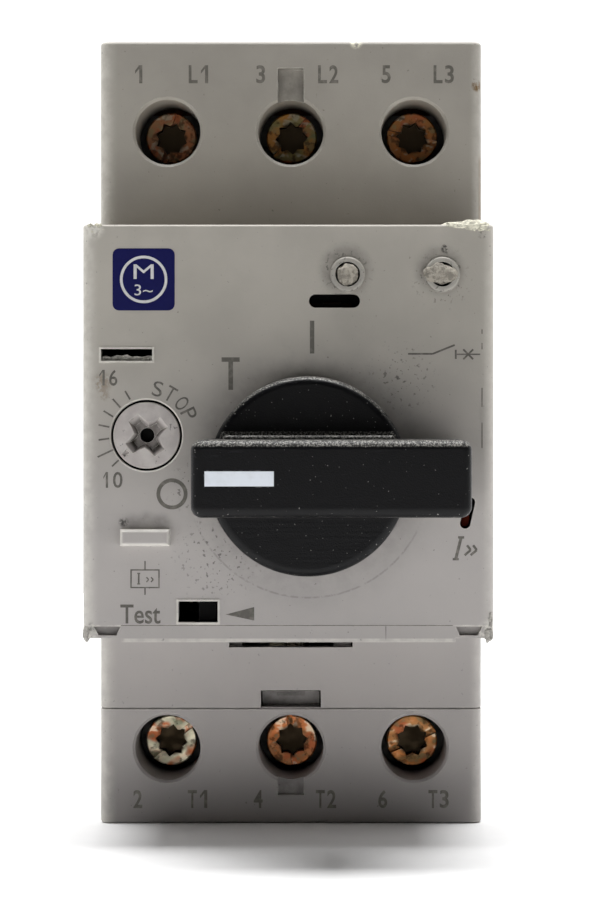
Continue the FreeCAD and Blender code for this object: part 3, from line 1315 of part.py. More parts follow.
def make_trip_flag():
    flag = Moulding("trip_flag")
    span = (FLAG_BACK, FLAG_FRONT)
    ring = "boss_radius + seat_gap + flag_ring"
    reach, root = f"({FLAG_RADIUS} + flag_margin)", "(boss_radius + seat_gap + flag_ring/2)"
    low, high = "(flag_slot_bottom_angle - flag_travel_angle)", "(flag_slot_top_angle + flag_travel_angle)"
    middle = f"(({low} + {high})/2)"
    flag.pad("ring", FRONT, span, disc("knob_x", KNOB_Z, ring))
    flag.pad("arm", FRONT, (f"{FLAG_FRONT} - flag_thick/2", FLAG_FRONT), outline(
        from_knob(root, f"{low} - flag_travel_angle"), from_knob(reach, low),
        from_knob(f"{reach} + slide_gap", middle), from_knob(reach, high),
        from_knob(root, f"{high} + flag_travel_angle")))
    flag.pad("tab", FRONT, (FLAG_FRONT, "cover_front - flag_tab_sink"), round_slot(
        from_knob(FLAG_RADIUS, "flag_slot_bottom_angle"),
        from_knob(FLAG_RADIUS, "flag_slot_bottom_angle + flag_tab_angle"), "flag_tab/2"))
    flag.pocket("bore", FRONT, span, disc("knob_x", KNOB_Z, "boss_radius + seat_gap"))


def make_setting_dial():
    dial = Moulding("setting_dial")
    axis = (DIAL_X, DIAL_Z)
    flange_front = f"({COVER_BACK} - slide_gap)"
    flange_back = f"({flange_front} - dial_flange_thick)"
    dial.pad("face", FRONT, (flange_front, DIAL_FACE), disc(*axis, "dial_radius"))
    dial.pad("flange", FRONT, (flange_back, flange_front), disc(*axis, "dial_radius + dial_flange"))
    dial.pad("spindle", FRONT, (HOUSING_WALL, flange_back), disc(*axis, "dial_spindle"))
    cam_back = "(case_front + dial_cam_thick)"
    dial.pad("cam", FRONT, (cam_back, f"{cam_back} + dial_cam_thick"),
             disc(f"{DIAL_X} + dial_cam_offset", DIAL_Z, "dial_cam_radius"))
    cross_floor = (f"{DIAL_FACE} - dial_cross_depth", DIAL_FACE)
    for name, angle in (("first", "dial_cross_angle"), ("second", "(dial_cross_angle + 90)")):
        reach = "(dial_cross_reach - dial_cross_width/2)"
        tip = (f"{DIAL_X} + {reach}*cos({angle})", f"{DIAL_Z} + {reach}*sin({angle})")
        tail = (f"{DIAL_X} - {reach}*cos({angle})", f"{DIAL_Z} - {reach}*sin({angle})")
        dial.pocket(f"cross_{name}", FRONT, cross_floor, round_slot(tail, tip, "dial_cross_width/2"))
    dial.chamfer("cross_bevel", "dial_cross_bevel", recess_rim)
    dial.pocket("hole", FRONT, (f"{DIAL_FACE} - 2*dial_cross_depth", DIAL_FACE), disc(*axis, "dial_hole"))
    rim = "(dial_radius - dial_pointer_width)"
    inner = "(dial_cross_reach + dial_cross_bevel)"
    point = "dial_pointer_angle"
    dial.pocket("pointer", FRONT, (f"{DIAL_FACE} - dial_cross_depth/2", DIAL_FACE), round_slot(
        (f"{DIAL_X} + {inner}*cos({point})", f"{DIAL_Z} + {inner}*sin({point})"),
        (f"{DIAL_X} + {rim}*cos({point})", f"{DIAL_Z} + {rim}*sin({point})"), "dial_pointer_width/2"))


def recess_rim(edge):
    """The front rim of the dial's recess, inside the dial's own round edge."""
    x, level, z = spot(edge)
    from_axis = Vector(x - value(DIAL_X), 0, z - value(DIAL_Z)).Length
    return near(level, DIAL_FACE) and from_axis < value("dial_cross_reach") + 1e-4


# Knob

def make_drive_shaft():
    """The knob's shaft, with a crank disc and pin that move the contact carrier."""
    shaft = forward_rod("shaft_rod", "knob_x", KNOB_Z, "shaft_radius",
                        (CRANK_FRONT, f"{KNOB_BACK} + shaft_socket"))
    crank = forward_rod("shaft_crank", "knob_x", KNOB_Z, "crank_radius", (CRANK_BACK, CRANK_FRONT))
    pin = forward_rod("shaft_pin", PIN_X, PIN_Z, "pin_radius", (YOKE_BACK, CRANK_BACK))
    node("drive_shaft", join("drive_shaft", shaft, crank, pin))


def make_rotary_knob():
    knob = Moulding("rotary_knob")
    knob.pad("disc", FRONT, (KNOB_BACK, KNOB_DISC_FRONT), disc("knob_x", KNOB_Z, "knob_radius"))
    knob.fillet("disc_rim", "knob_disc_round", circle_at(KNOB_DISC_FRONT, "knob_radius"))
    bar_x = ("knob_x - knob_bar_left", "knob_x + knob_bar_right")
    bar_z = about(KNOB_Z, "knob_bar_width/2")
    knob.pad("bar", FRONT, (KNOB_BAR_BACK, "knob_bar_front"), rectangle(bar_x, bar_z))
    knob.fillet("bar_corners", "knob_bar_corner", bar_corner)
    knob.fillet("bar_rim", "knob_bar_round", bar_rim)
    knob.pocket("socket", FRONT, (KNOB_BACK, f"{KNOB_BACK} + shaft_socket"),
                disc("knob_x", KNOB_Z, "shaft_radius + touch_gap"))
    knob.pocket("pointer_recess", FRONT, POINTER_SPAN, pointer_shape("0"))


def bar_corner(edge):
    """The four corner edges of the knob's bar."""
    x, _, _ = spot(edge)
    at_end = near(x, "knob_x - knob_bar_left") or near(x, "knob_x + knob_bar_right")
    return is_straight(edge, (0, 1, 0)) and at_end


def bar_rim(edge):
    _, level, _ = spot(edge)
    return near(level, "knob_bar_front")


def pointer_shape(margin):
    left = f"(knob_x - knob_bar_left + pointer_inset + {margin})"
    return rectangle((left, f"{left} + pointer_length - 2*{margin}"),
                     about(KNOB_Z, f"pointer_width/2 - {margin}"))


def make_knob_pointer():
    pointer = Moulding("knob_pointer")
    pointer.pad("inlay", FRONT, POINTER_SPAN, pointer_shape("touch_gap"))


make_rear_base()
make_main_housing()
make_load_block()
make_front_cover()
make_seal_plugs()
make_rail_latch()
make_rail_latch_spring()
make_terminals()
make_line_bars()
make_coil_bars()
make_contact_tips()
make_contact_bridges()
make_contact_springs()
make_opening_springs()
make_contact_carrier()
make_arc_plates()
make_magnet_coils()
make_coil_bobbins()
make_magnet_yokes()
make_plungers()
make_load_bars()
make_bimetal_strips()
make_heater_windings()
make_trip_slide()
make_trip_lever()
make_test_slider()
make_trip_flag()
make_setting_dial()
make_drive_shaft()
make_rotary_knob()
make_knob_pointer()
doc.recompute()

failed = [thing.Label for thing in doc.Objects if {"Invalid", "Error"} & set(thing.State)]
if failed:
    raise ValueError(f"not built: {failed}")
for thing in nodes:
    if thing.Shape.isNull() or not thing.Shape.isValid() or thing.Shape.Volume <= 0:
        raise ValueError(f"bad shape: {thing.Label}")

os.makedirs("parts", exist_ok=True)
for thing in nodes:
    thing.Shape.exportStep(f"parts/{thing.Label}.step")
print(len(nodes), "pieces written")
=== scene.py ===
import json
import math

import bmesh
import bpy
from mathutils import Matrix, Vector
from mathutils import noise as relief


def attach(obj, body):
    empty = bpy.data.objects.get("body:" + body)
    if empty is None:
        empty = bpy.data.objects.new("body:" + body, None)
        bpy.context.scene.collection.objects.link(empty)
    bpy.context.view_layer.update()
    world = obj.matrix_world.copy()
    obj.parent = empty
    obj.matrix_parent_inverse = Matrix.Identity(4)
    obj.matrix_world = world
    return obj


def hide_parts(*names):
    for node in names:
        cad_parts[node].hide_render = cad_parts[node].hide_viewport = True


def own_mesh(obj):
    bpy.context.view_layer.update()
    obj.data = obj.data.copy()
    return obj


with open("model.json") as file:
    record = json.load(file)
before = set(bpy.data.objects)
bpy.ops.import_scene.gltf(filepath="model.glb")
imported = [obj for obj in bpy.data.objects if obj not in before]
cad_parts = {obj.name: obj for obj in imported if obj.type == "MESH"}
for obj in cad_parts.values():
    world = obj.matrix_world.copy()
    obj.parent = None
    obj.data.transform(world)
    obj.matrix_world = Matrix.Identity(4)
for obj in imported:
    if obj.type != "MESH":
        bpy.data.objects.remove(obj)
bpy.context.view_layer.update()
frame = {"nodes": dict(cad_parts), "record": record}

# Places and sizes are in millimetres, and levels are counted from the rail seat towards the viewer.
MM = 0.001
FLOOR_Z = -45.5
TERMINAL_FACE = 40.0
COVER_FACE = 58.0
KNOB_X, KNOB_Z = 2.2, -4.6
DISC_RADIUS = 10.8
DISC_FACE = 63.0
BAR_FACE = 73.5
BAR_TOP_Z = -0.55
DIAL_X, DIAL_Z = -15.5, -0.2
DIAL_FACE = 57.8
BADGE_X, BADGE_Z = -15.8, 16.85
POLE_PITCH = 14.33
LINE_Z, LOAD_Z = 35.0, -36.7
SCREW_HEAD = 33.0

# A printed mark stands a little proud of its face and reaches a little into it. Strokes that cross
# lie a step apart, so none share a face.
PRINT_PROUD = 0.02
PRINT_SUNK = 0.03
PRINT_THICK = PRINT_PROUD + PRINT_SUNK
PRINT_MIDDLE = (PRINT_PROUD - PRINT_SUNK) / 2
STROKE_STEP = 0.004


def at(x, level, z):
    """A point in the shared frame, in metres, from millimetres across, forward and up."""
    return Vector((x * MM, -level * MM, z * MM))


def tint(red, green, blue):
    """A colour measured on screen, as the linear values that a shader takes."""
    parts = [part / 255 for part in (red, green, blue)]
    linear = [((part + 0.055) / 1.055) ** 2.4 if part > 0.04 else part / 12.92 for part in parts]
    return (*linear, 1.0)


def shade(base, factor):
    """A colour made darker or lighter by a factor."""
    return (*(min(1.0, part * factor) for part in base[:3]), 1.0)


# Shader building blocks


def add(tree, kind, inputs=None, **settings):
    """Adds a shader node, sets its options, and sets or links its inputs."""
    made = tree.nodes.new(kind)
    for name, setting in settings.items():
        setattr(made, name, setting)
    for name, given in (inputs or {}).items():
        if isinstance(given, bpy.types.NodeSocket):
            tree.links.new(given, made.inputs[name])
        else:
            made.inputs[name].default_value = given
    return made


def start(name, roughness=0.5, metallic=0.0):
    """A new material: its node tree, its main shader and the object coordinates."""
    material = bpy.data.materials.new(name)
    material.use_nodes = True
    tree = material.node_tree
    shader = tree.nodes["Principled BSDF"]
    shader.inputs["Roughness"].default_value = roughness
    shader.inputs["Metallic"].default_value = metallic
    place = add(tree, "ShaderNodeTexCoord").outputs["Object"]
    return material, tree, shader, place


def noise(tree, place, size, detail=3.0, roughness=0.55, stretch=(1, 1, 1)):
    """Noise whose features are about size millimetres across."""
    where = place
    if stretch != (1, 1, 1):
        where = add(tree, "ShaderNodeMapping", {"Vector": place, "Scale": stretch}).outputs["Vector"]
    inputs = {"Vector": where, "Scale": 1 / (size * MM), "Detail": detail, "Roughness": roughness}
    return add(tree, "ShaderNodeTexNoise", inputs).outputs["Fac"]


def ramp(tree, value, low, high, to_low=0.0, to_high=1.0):
    """Maps low..high smoothly to to_low..to_high, and keeps outside values at the ends."""
    inputs = {"Value": value, "From Min": low, "From Max": high, "To Min": to_low, "To Max": to_high}
    made = add(tree, "ShaderNodeMapRange", inputs, interpolation_type="SMOOTHSTEP")
    return made.outputs["Result"]


def slope(tree, value, low, high, to_low=0.0, to_high=1.0):
    """A ramp between two places that are given in millimetres."""
    return ramp(tree, value, low * MM, high * MM, to_low, to_high)


def math_node(tree, operation, first, second):
    """One step of arithmetic between sockets or numbers."""
    return add(tree, "ShaderNodeMath", {0: first, 1: second}, operation=operation).outputs["Value"]


def vector_node(tree, operation, first, second=(0, 0, 0), output="Value"):
    """One step of arithmetic between points or directions."""
    made = add(tree, "ShaderNodeVectorMath", {0: first, 1: second}, operation=operation)
    return made.outputs[output]


def times(tree, first, *others):
    """The product of several masks or numbers."""
    for other in others:
        first = math_node(tree, "MULTIPLY", first, other)
    return first


def mix(tree, amount, first, second):
    """Blends two colours by amount."""
    made = add(tree, "ShaderNodeMix", {"Factor": amount}, data_type="RGBA")
    colours = [s for s in made.inputs if s.type == "RGBA"]
    for socket, given in zip(colours, (first, second)):
        if isinstance(given, bpy.types.NodeSocket):
            tree.links.new(given, socket)
        else:
            socket.default_value = given
    return next(s for s in made.outputs if s.type == "RGBA")


def near(tree, place, point, inner, outer):
    """1 within inner millimetres of a point, fading to 0 at outer."""
    return slope(tree, vector_node(tree, "DISTANCE", place, point), inner, outer, 1.0, 0.0)


def axis_distance(tree, place, x, z):
    """Distance in metres from a line that runs front to back through x, z."""
    flat = vector_node(tree, "MULTIPLY", place, (1, 0, 1), "Vector")
    return vector_node(tree, "DISTANCE", flat, at(x, 0, z))


def axes(tree, place):
    """The x, level and z of a surface point, in metres; the level is counted towards the viewer."""
    parts = add(tree, "ShaderNodeSeparateXYZ", {"Vector": place})
    return parts.outputs["X"], math_node(tree, "MULTIPLY", parts.outputs["Y"], -1.0), parts.outputs["Z"]


def within(tree, value, low, high, fade):
    """1 between low and high millimetres, fading out over fade millimetres on both sides."""
    rise = slope(tree, value, low - fade, low)
    fall = slope(tree, value, high, high + fade, 1.0, 0.0)
    return times(tree, rise, fall)


def in_box(tree, place, across, forward, up, fades):
    """1 inside a box given by its millimetres across, forward and up, with a fade for each way."""
    ways = zip(axes(tree, place), (across, forward, up), fades)
    return times(tree, *[within(tree, value, *span, fade) for value, span, fade in ways])


def bump(tree, shader, *layers):
    """Surface relief from (height socket, depth in millimetres, strength) layers."""
    normal = None
    for height, depth, strength in layers:
        inputs = {"Height": height, "Distance": depth * MM, "Strength": strength}
        if normal is not None:
            inputs["Normal"] = normal
        normal = add(tree, "ShaderNodeBump", inputs).outputs["Normal"]
    tree.links.new(normal, shader.inputs["Normal"])


def edge_mask(tree, radius):
    """1 along the solid's outer and inner edges, within about radius millimetres."""
    soft = add(tree, "ShaderNodeBevel", {"Radius": radius * MM}, samples=4).outputs["Normal"]
    flat = add(tree, "ShaderNodeNewGeometry").outputs["Normal"]
    return ramp(tree, vector_node(tree, "DOT_PRODUCT", soft, flat), 0.99, 0.8)


def colour(tree, shader, socket):
    """Gives the shader its colour."""
    tree.links.new(socket, shader.inputs["Base Color"])


def rough(tree, shader, socket):
    """Gives the shader its roughness."""
    tree.links.new(socket, shader.inputs["Roughness"])


# Finishes

# Soot is also the colour of painted shade, and the rubbed colour also that of painted light on edges and
# tops.
SOOT_AND_SHADE = tint(40, 37, 33)
RUBBED_AND_LIT = tint(228, 225, 216)
BROWN = tint(116, 90, 54)
CREAM = tint(238, 234, 214)
WARM_GREY = tint(176, 171, 162)
COOL_LOWER_TONE = tint(178, 173, 176)
# A stain or rubbed place: its point as x, level and z, inner and outer radius, colour and strength.
COVER_SPOTS = (
    ((-20.3, COVER_FACE, 5.6), 0.4, 1.4, BROWN, 0.5),
    ((-20.2, COVER_FACE, 4.2), 0.2, 0.9, BROWN, 0.4),
    ((17.2, COVER_FACE, 20.2), 0.3, 0.6, SOOT_AND_SHADE, 1.0),
    ((21.2, COVER_FACE, 21.75), 0.2, 0.6, SOOT_AND_SHADE, 0.9),
    ((-21.3, COVER_FACE, 22.4), 0.5, 1.5, RUBBED_AND_LIT, 0.8),
    ((22.2, 57.8, -22.0), 0.8, 2.0, RUBBED_AND_LIT, 0.8),
    ((-22.2, 57.8, -22.0), 0.6, 1.6, RUBBED_AND_LIT, 0.8),
    ((-21.6, 57.9, -21.3), 0.2, 0.8, SOOT_AND_SHADE, 0.7),
    ((-18.0, COVER_FACE, -9.7), 0.2, 0.7, SOOT_AND_SHADE, 0.9),
)
# Soft halos in the same form: dirt round the seal plugs, dirt and painted shade round the knob, painted
# shadow above the lug.
COVER_SMUDGES_AND_SHADOWS = (
    ((6.3, COVER_FACE, 17.9), 1.9, 3.4, SOOT_AND_SHADE, 0.42),
    ((16.6, COVER_FACE, 17.8), 1.9, 3.2, SOOT_AND_SHADE, 0.36),
    ((KNOB_X, COVER_FACE, KNOB_Z), 11.0, 16.0, SOOT_AND_SHADE, 0.22),
    ((-17.0, COVER_FACE, -9.8), 0.3, 1.5, SOOT_AND_SHADE, 0.35),
    ((-15.4, COVER_FACE, -9.6), 0.3, 1.5, SOOT_AND_SHADE, 0.35),
    ((-13.8, COVER_FACE, -9.8), 0.3, 1.5, SOOT_AND_SHADE, 0.35),
)
# Places full of small dark specks: point, inner and outer radius.
COVER_PEPPER = (
    ((-7.8, COVER_FACE, -13.5), 2.0, 6.0),
    ((-10.5, COVER_FACE, -6.0), 1.0, 3.5),
    ((12.5, COVER_FACE, 6.0), 1.0, 5.0),
    ((6.3, COVER_FACE, 17.7), 1.5, 3.6),
    ((16.8, COVER_FACE, 17.0), 1.5, 4.0),
)
BODY_SPOTS = (
    ((21.8, TERMINAL_FACE, 40.4), 0.5, 0.9, BROWN, 1.0),
    ((7.6, TERMINAL_FACE, 45.4), 0.4, 0.9, CREAM, 1.0),
)
# A worn, soiled or painted-light box: millimetres across, forward and up, the three fades, colour and
# strength.
COVER_WEAR_AND_LIGHT = (
    ((-21.0, -7.0), (58.08, 58.3), (-21.0, 10.0), (0.1, 0.03, 0.1), RUBBED_AND_LIT, 0.8),
    # Painted highlight: the tops of the raised seal rings lighter.
    ((4.0, 19.5), (58.42, 58.7), (15.0, 20.0), (0.1, 0.03, 0.1), RUBBED_AND_LIT, 0.4),
    ((-19.9, -11.1), (57.86, 57.98), (-4.6, 4.2), (0.1, 0.02, 0.1), RUBBED_AND_LIT, 0.8),
    # The lug's side walls lighter: rubbed wear and painted highlight.
    ((-18.6, -12.6), (58.25, 59.42), (-12.6, -10.1), (0.1, 0.06, 0.1), RUBBED_AND_LIT, 0.6),
    # The cover's bottom edge lighter: a worn line and painted light from below.
    ((-17.8, 17.8), (56.5, 58.2), (-22.85, -22.5), (0.5, 0.3, 0.12), RUBBED_AND_LIT, 0.6),
    ((-21.5, -14.0), (56.8, 57.4), (-22.9, -20.9), (0.1, 0.1, 0.1), SOOT_AND_SHADE, 0.35),
    ((14.0, 21.5), (56.8, 57.4), (-22.9, -20.9), (0.1, 0.1, 0.1), SOOT_AND_SHADE, 0.2),
    # The next two rows are painted light: the cover's side edges lighter, fading inwards.
    ((22.1, 23.0), (56.8, 58.3), (-23.0, 23.0), (1.2, 0.6, 0.1), RUBBED_AND_LIT, 0.3),
    ((-23.0, -22.0), (56.8, 58.3), (-23.0, 23.0), (1.4, 0.6, 0.1), RUBBED_AND_LIT, 0.6),
    ((10.65, 10.72), (57.0, 58.2), (-22.4, -21.2), (0.05, 0.1, 0.3), SOOT_AND_SHADE, 0.6),
)
BODY_WEAR_LIGHT_AND_SHADE = (
    # The next two rows are painted light: the side edges of the terminal faces lighter, fading inwards.
    ((21.8, 22.4), (39.2, 40.2), (-46.0, 46.0), (1.2, 0.6, 0.1), RUBBED_AND_LIT, 0.3),
    ((-22.4, -21.8), (39.2, 40.2), (-46.0, 46.0), (1.8, 0.6, 0.1), RUBBED_AND_LIT, 0.55),
    # The next three rows are painted shade: the middle marker grooves, a recess by the load block's hook
    # and the slit under the cover.
    ((-1.6, 1.6), (38.4, 39.4), (-43.5, 43.5), (0.1, 0.1, 0.1), SOOT_AND_SHADE, 0.45),
    ((-3.5, 3.5), (35.0, 39.5), (-32.1, -29.9), (0.1, 0.1, 0.1), SOOT_AND_SHADE, 0.6),
    ((-7.3, 7.3), (36.0, 39.8), (-25.2, -22.7), (0.1, 0.1, 0.1), SOOT_AND_SHADE, 0.95),
    ((22.0, 22.4), (39.0, 40.2), (23.0, 31.0), (0.3, 0.3, 2.0), BROWN, 0.6),
)
# Painted shade spread evenly over a face, given in the same way: above the cover, at the foot, over the
# upper face.
BODY_PAINTED_SHADE = (
    ((-19.0, 20.5), (39.5, 40.2), (22.0, 26.0), (3.5, 0.3, 9.0), SOOT_AND_SHADE, 0.19),
    ((-20.0, 20.0), (39.5, 40.2), (-46.0, -44.0), (3.0, 0.3, 9.0), SOOT_AND_SHADE, 0.33),
    ((-20.5, 22.4), (39.5, 40.2), (22.0, 46.0), (2.0, 0.3, 0.1), SOOT_AND_SHADE, 0.18),
)
# The rooms inside the case, behind the terminal faces and behind the cover, which get painted shade:
# boxes with their fades.
INNER_ROOMS = (
    ((-21.2, 21.2), (17.0, 29.2), (-38.0, 38.0), (0.2, 7.0, 6.2)),
    ((-21.2, 21.2), (37.0, 56.4), (-21.6, 21.6), (0.2, 0.5, 0.2)),
)
# The ring that turning hands have left round the knob: inner and outer radius and fade, then the heights
# where it starts and where it is full.
RUB_RING = (13.3, 13.4, 0.1)
RUB_FROM, RUB_FULL = -8.0, -13.0
# The heights where the case's cooler lower tone starts and where it is full.
COOL_TONE_FROM, COOL_TONE_FULL = 14.0, -16.0
# The colour cast of single screw heads: x, z, colour and strength.
SCREW_CASTS = (
    (0.0, LOAD_Z, tint(226, 118, 84), 0.5),
    (-POLE_PITCH, LOAD_Z, CREAM, 0.6),
    (POLE_PITCH, LOAD_Z, tint(228, 142, 88), 0.6),
    (-POLE_PITCH, LINE_Z, tint(214, 120, 100), 0.5),
    (POLE_PITCH, LINE_Z, tint(228, 124, 62), 0.55),
)


def painted_inner_shade(tree, place):
    """1 on the surfaces inside the case, which get painted shade."""
    behind_faces, behind_cover = (in_box(tree, place, *room) for room in INNER_ROOMS)
    return math_node(tree, "MAXIMUM", behind_faces, behind_cover)


def case_plastic(name, base, spots=(), smudges_and_shadows=(), pepper=(), wear_light_and_shade=(), painted_shade=(), rub_mark=0.0):
    """Warm grey plastic: grain, cooler lower end, specks, worn edges, stains, painted light and shade.

    rub_mark is the strength of the ring round the knob."""
    material, tree, shader, place = start(name)
    z = axes(tree, place)[2]
    grain = noise(tree, place, 0.22, 2.0)
    cloud = noise(tree, place, 9.0, 4.0)
    fine = noise(tree, place, 0.45, 2.0)
    ragged = ramp(tree, noise(tree, place, 0.6, 5.0, 0.65), 0.4, 0.56)
    mottle = ramp(tree, noise(tree, place, 1.4, 5.0, 0.6), 0.3, 0.7, 0.45, 1.0)
    face = mix(tree, ramp(tree, cloud, 0.3, 0.7), shade(base, 0.93), shade(base, 1.06))
    low_end = slope(tree, z, COOL_TONE_FROM, COOL_TONE_FULL)
    face = mix(tree, times(tree, low_end, 0.5), face, COOL_LOWER_TONE)
    circle = within(tree, axis_distance(tree, place, KNOB_X, KNOB_Z), *RUB_RING)
    rub = times(tree, circle, slope(tree, z, RUB_FROM, RUB_FULL), ragged, rub_mark)
    face = mix(tree, rub, face, SOOT_AND_SHADE)
    # Painted shade spread evenly over faces.
    for *box, shade_tone, amount in painted_shade:
        face = mix(tree, times(tree, in_box(tree, place, *box), amount), face, shade_tone)
    # Worn and soiled boxes, some of them painted light or painted shade.
    for *box, mark_colour, amount in wear_light_and_shade:
        here = times(tree, in_box(tree, place, *box), mottle, amount)
        face = mix(tree, here, face, mark_colour)
    face = mix(tree, times(tree, ramp(tree, fine, 0.71, 0.75), 0.4), face, SOOT_AND_SHADE)
    for point, inner, outer in pepper:
        here = times(tree, near(tree, place, at(*point), inner, outer), ramp(tree, fine, 0.6, 0.66), 0.6)
        face = mix(tree, here, face, SOOT_AND_SHADE)
    worn = times(tree, edge_mask(tree, 0.2), ramp(tree, noise(tree, place, 1.6, 4.0), 0.4, 0.62), 0.7)
    face = mix(tree, worn, face, RUBBED_AND_LIT)
    # Spots and smudges; the smudges above the lug are painted shadow, the one round the knob partly so.
    for marks, texture in ((smudges_and_shadows, mottle), (spots, ragged)):
        for point, inner, outer, mark_colour, amount in marks:
            here = times(tree, near(tree, place, at(*point), inner, outer), texture, amount)
            face = mix(tree, here, face, mark_colour)
    # Painted shade: the surfaces inside the case darkened nearly to soot colour.
    face = mix(tree, times(tree, painted_inner_shade(tree, place), 0.93), face, SOOT_AND_SHADE)
    colour(tree, shader, face)
    rough(tree, shader, ramp(tree, cloud, 0.2, 0.8, 0.42, 0.58))
    bump(tree, shader, (grain, 0.03, 0.35), (noise(tree, place, 3.0), 0.02, 0.3))
    return material


def dial_plastic():
    """The setting dial's grey plastic, a little pinker than the case: painted shade in grooves and hole.
    """
    material, tree, shader, place = start("dial_plastic", 0.6)
    shader.inputs["Specular IOR Level"].default_value = 0.2
    level, z = axes(tree, place)[1:]
    cloud = noise(tree, place, 1.6, 4.0)
    specks = ramp(tree, noise(tree, place, 0.45, 1.0), 0.7, 0.75)
    face = mix(tree, ramp(tree, cloud, 0.35, 0.68), tint(192, 185, 182), tint(206, 200, 196))
    face = mix(tree, times(tree, specks, 0.5), face, SOOT_AND_SHADE)
    # Painted shade: the cross recess darker below the face, more on the dial's lower half.
    in_grooves = slope(tree, level, DIAL_FACE - 0.1, DIAL_FACE - 0.9)
    lower_half = slope(tree, z, DIAL_Z - 0.8, DIAL_Z + 0.8, 1.0, 0.7)
    groove_shade = times(tree, in_grooves, ramp(tree, cloud, 0.3, 0.55, 0.5, 1.0), lower_half)
    face = mix(tree, groove_shade, face, tint(60, 54, 47))
    # Lighter edges: rubbed wear and painted highlight.
    worn = times(tree, edge_mask(tree, 0.15), ramp(tree, noise(tree, place, 0.9, 4.0), 0.32, 0.5), 0.85)
    face = mix(tree, worn, face, RUBBED_AND_LIT)
    # Painted shade: the middle hole painted nearly black.
    in_hole = slope(tree, level, DIAL_FACE - 1.02, DIAL_FACE - 1.3)
    face = mix(tree, in_hole, face, tint(4, 4, 4))
    colour(tree, shader, face)
    bump(tree, shader, (noise(tree, place, 0.2, 2.0), 0.03, 0.35), (cloud, 0.05, 0.25))
    return material


def knob_plastic():
    """Black half-gloss plastic: grain, dust, fine lines low on the disc, painted speckled highlights."""
    material, tree, shader, place = start("knob_plastic", 0.28)
    shader.inputs["Specular IOR Level"].default_value = 0.18
    level, z = axes(tree, place)[1:]
    grain = noise(tree, place, 0.13, 2.0)
    scuff = ramp(tree, noise(tree, place, 0.5, 5.0, stretch=(0.12, 1, 1)), 0.6, 0.72)
    rubbed = ramp(tree, noise(tree, place, 5.0), 0.45, 0.7)
    face = mix(tree, times(tree, scuff, rubbed, 0.25), tint(9, 9, 11), tint(62, 62, 68))
    dust = ramp(tree, noise(tree, place, 0.3, 1.0), 0.72, 0.77)
    face = mix(tree, times(tree, dust, 0.6), face, tint(170, 168, 164))
    # Painted highlight: pale speckles along the bar's top edge, the bar's root and the disc's upper rim.
    bar_top = times(tree, slope(tree, level, BAR_FACE - 1.7, BAR_FACE - 1.1),
                    within(tree, z, BAR_TOP_Z - 0.6, BAR_TOP_Z + 0.55, 0.2))
    root = times(tree, within(tree, level, DISC_FACE - 0.1, DISC_FACE + 0.8, 0.1),
                 within(tree, z, BAR_TOP_Z - 0.65, BAR_TOP_Z + 0.75, 0.1))
    from_axis = axis_distance(tree, place, KNOB_X, KNOB_Z)
    rim = times(tree, within(tree, from_axis, DISC_RADIUS - 0.25, DISC_RADIUS + 0.2, 0.15),
                slope(tree, z, 0.0, 5.5), slope(tree, level, DISC_FACE - 1.5, DISC_FACE - 0.5))
    painted_highlight = math_node(tree, "MAXIMUM", math_node(tree, "MAXIMUM", bar_top, root), rim)
    highlight_speckle = ramp(tree, noise(tree, place, 0.2, 3.0, 0.7), 0.47, 0.6, 0.08, 1.0)
    face = mix(tree, times(tree, painted_highlight, highlight_speckle), face, tint(144, 142, 137))
    chipped = ramp(tree, noise(tree, place, 0.4, 5.0, 0.7), 0.5, 0.62)
    face = mix(tree, times(tree, edge_mask(tree, 0.25), chipped, 0.6), face, tint(160, 160, 164))
    colour(tree, shader, face)
    rough(tree, shader, ramp(tree, noise(tree, place, 1.2), 0.3, 0.7, 0.28, 0.4))
    low_half = slope(tree, z, KNOB_Z - 1, KNOB_Z - 4)
    on_disc = slope(tree, level, DISC_FACE + 0.6, DISC_FACE + 0.2)
    lines = times(tree, noise(tree, place, 0.35, 3.0, stretch=(0.03, 1, 1)), low_half, on_disc)
    bump(tree, shader, (grain, 0.06, 0.6), (lines, 0.05, 0.5))
    return material


def inlay_white():
    """Off-white inlay, slightly soiled."""
    material, tree, shader, place = start("inlay_white", 0.4)
    soil = ramp(tree, noise(tree, place, 1.1, 4.0), 0.45, 0.75)
    colour(tree, shader, mix(tree, times(tree, soil, 0.3), tint(234, 240, 248), tint(206, 211, 216)))
    bump(tree, shader, (noise(tree, place, 0.3), 0.02, 0.3))
    return material


def coloured_plastic(name, base, roughness=0.45, shine=0.5):
    """Plain moulded plastic of one colour, with flow marks and a fine grain."""
    material, tree, shader, place = start(name, roughness)
    shader.inputs["Specular IOR Level"].default_value = shine
    flow = ramp(tree, noise(tree, place, 4.0, 4.0, stretch=(1, 1, 0.4)), 0.3, 0.7)
    colour(tree, shader, mix(tree, flow, shade(base, 0.82), base))
    bump(tree, shader, (noise(tree, place, 0.25, 2.0), 0.03, 0.3))
    return material


def from_screw_axis(tree, x, z):
    """Distance in metres from the axis of the nearest clamp screw."""
    half = POLE_PITCH * MM / 2
    across = add(tree, "ShaderNodeMath", {0: x, 1: half, 2: -half}, operation="WRAP").outputs["Value"]
    from_middle = math_node(tree, "SUBTRACT", z, (LINE_Z + LOAD_Z) / 2 * MM)
    height = math_node(tree, "ABSOLUTE", from_middle, 0.0)
    from_row = math_node(tree, "SUBTRACT", height, (LINE_Z - LOAD_Z) / 2 * MM)
    away = add(tree, "ShaderNodeCombineXYZ", {"X": across, "Z": from_row}).outputs["Vector"]
    return vector_node(tree, "LENGTH", away)


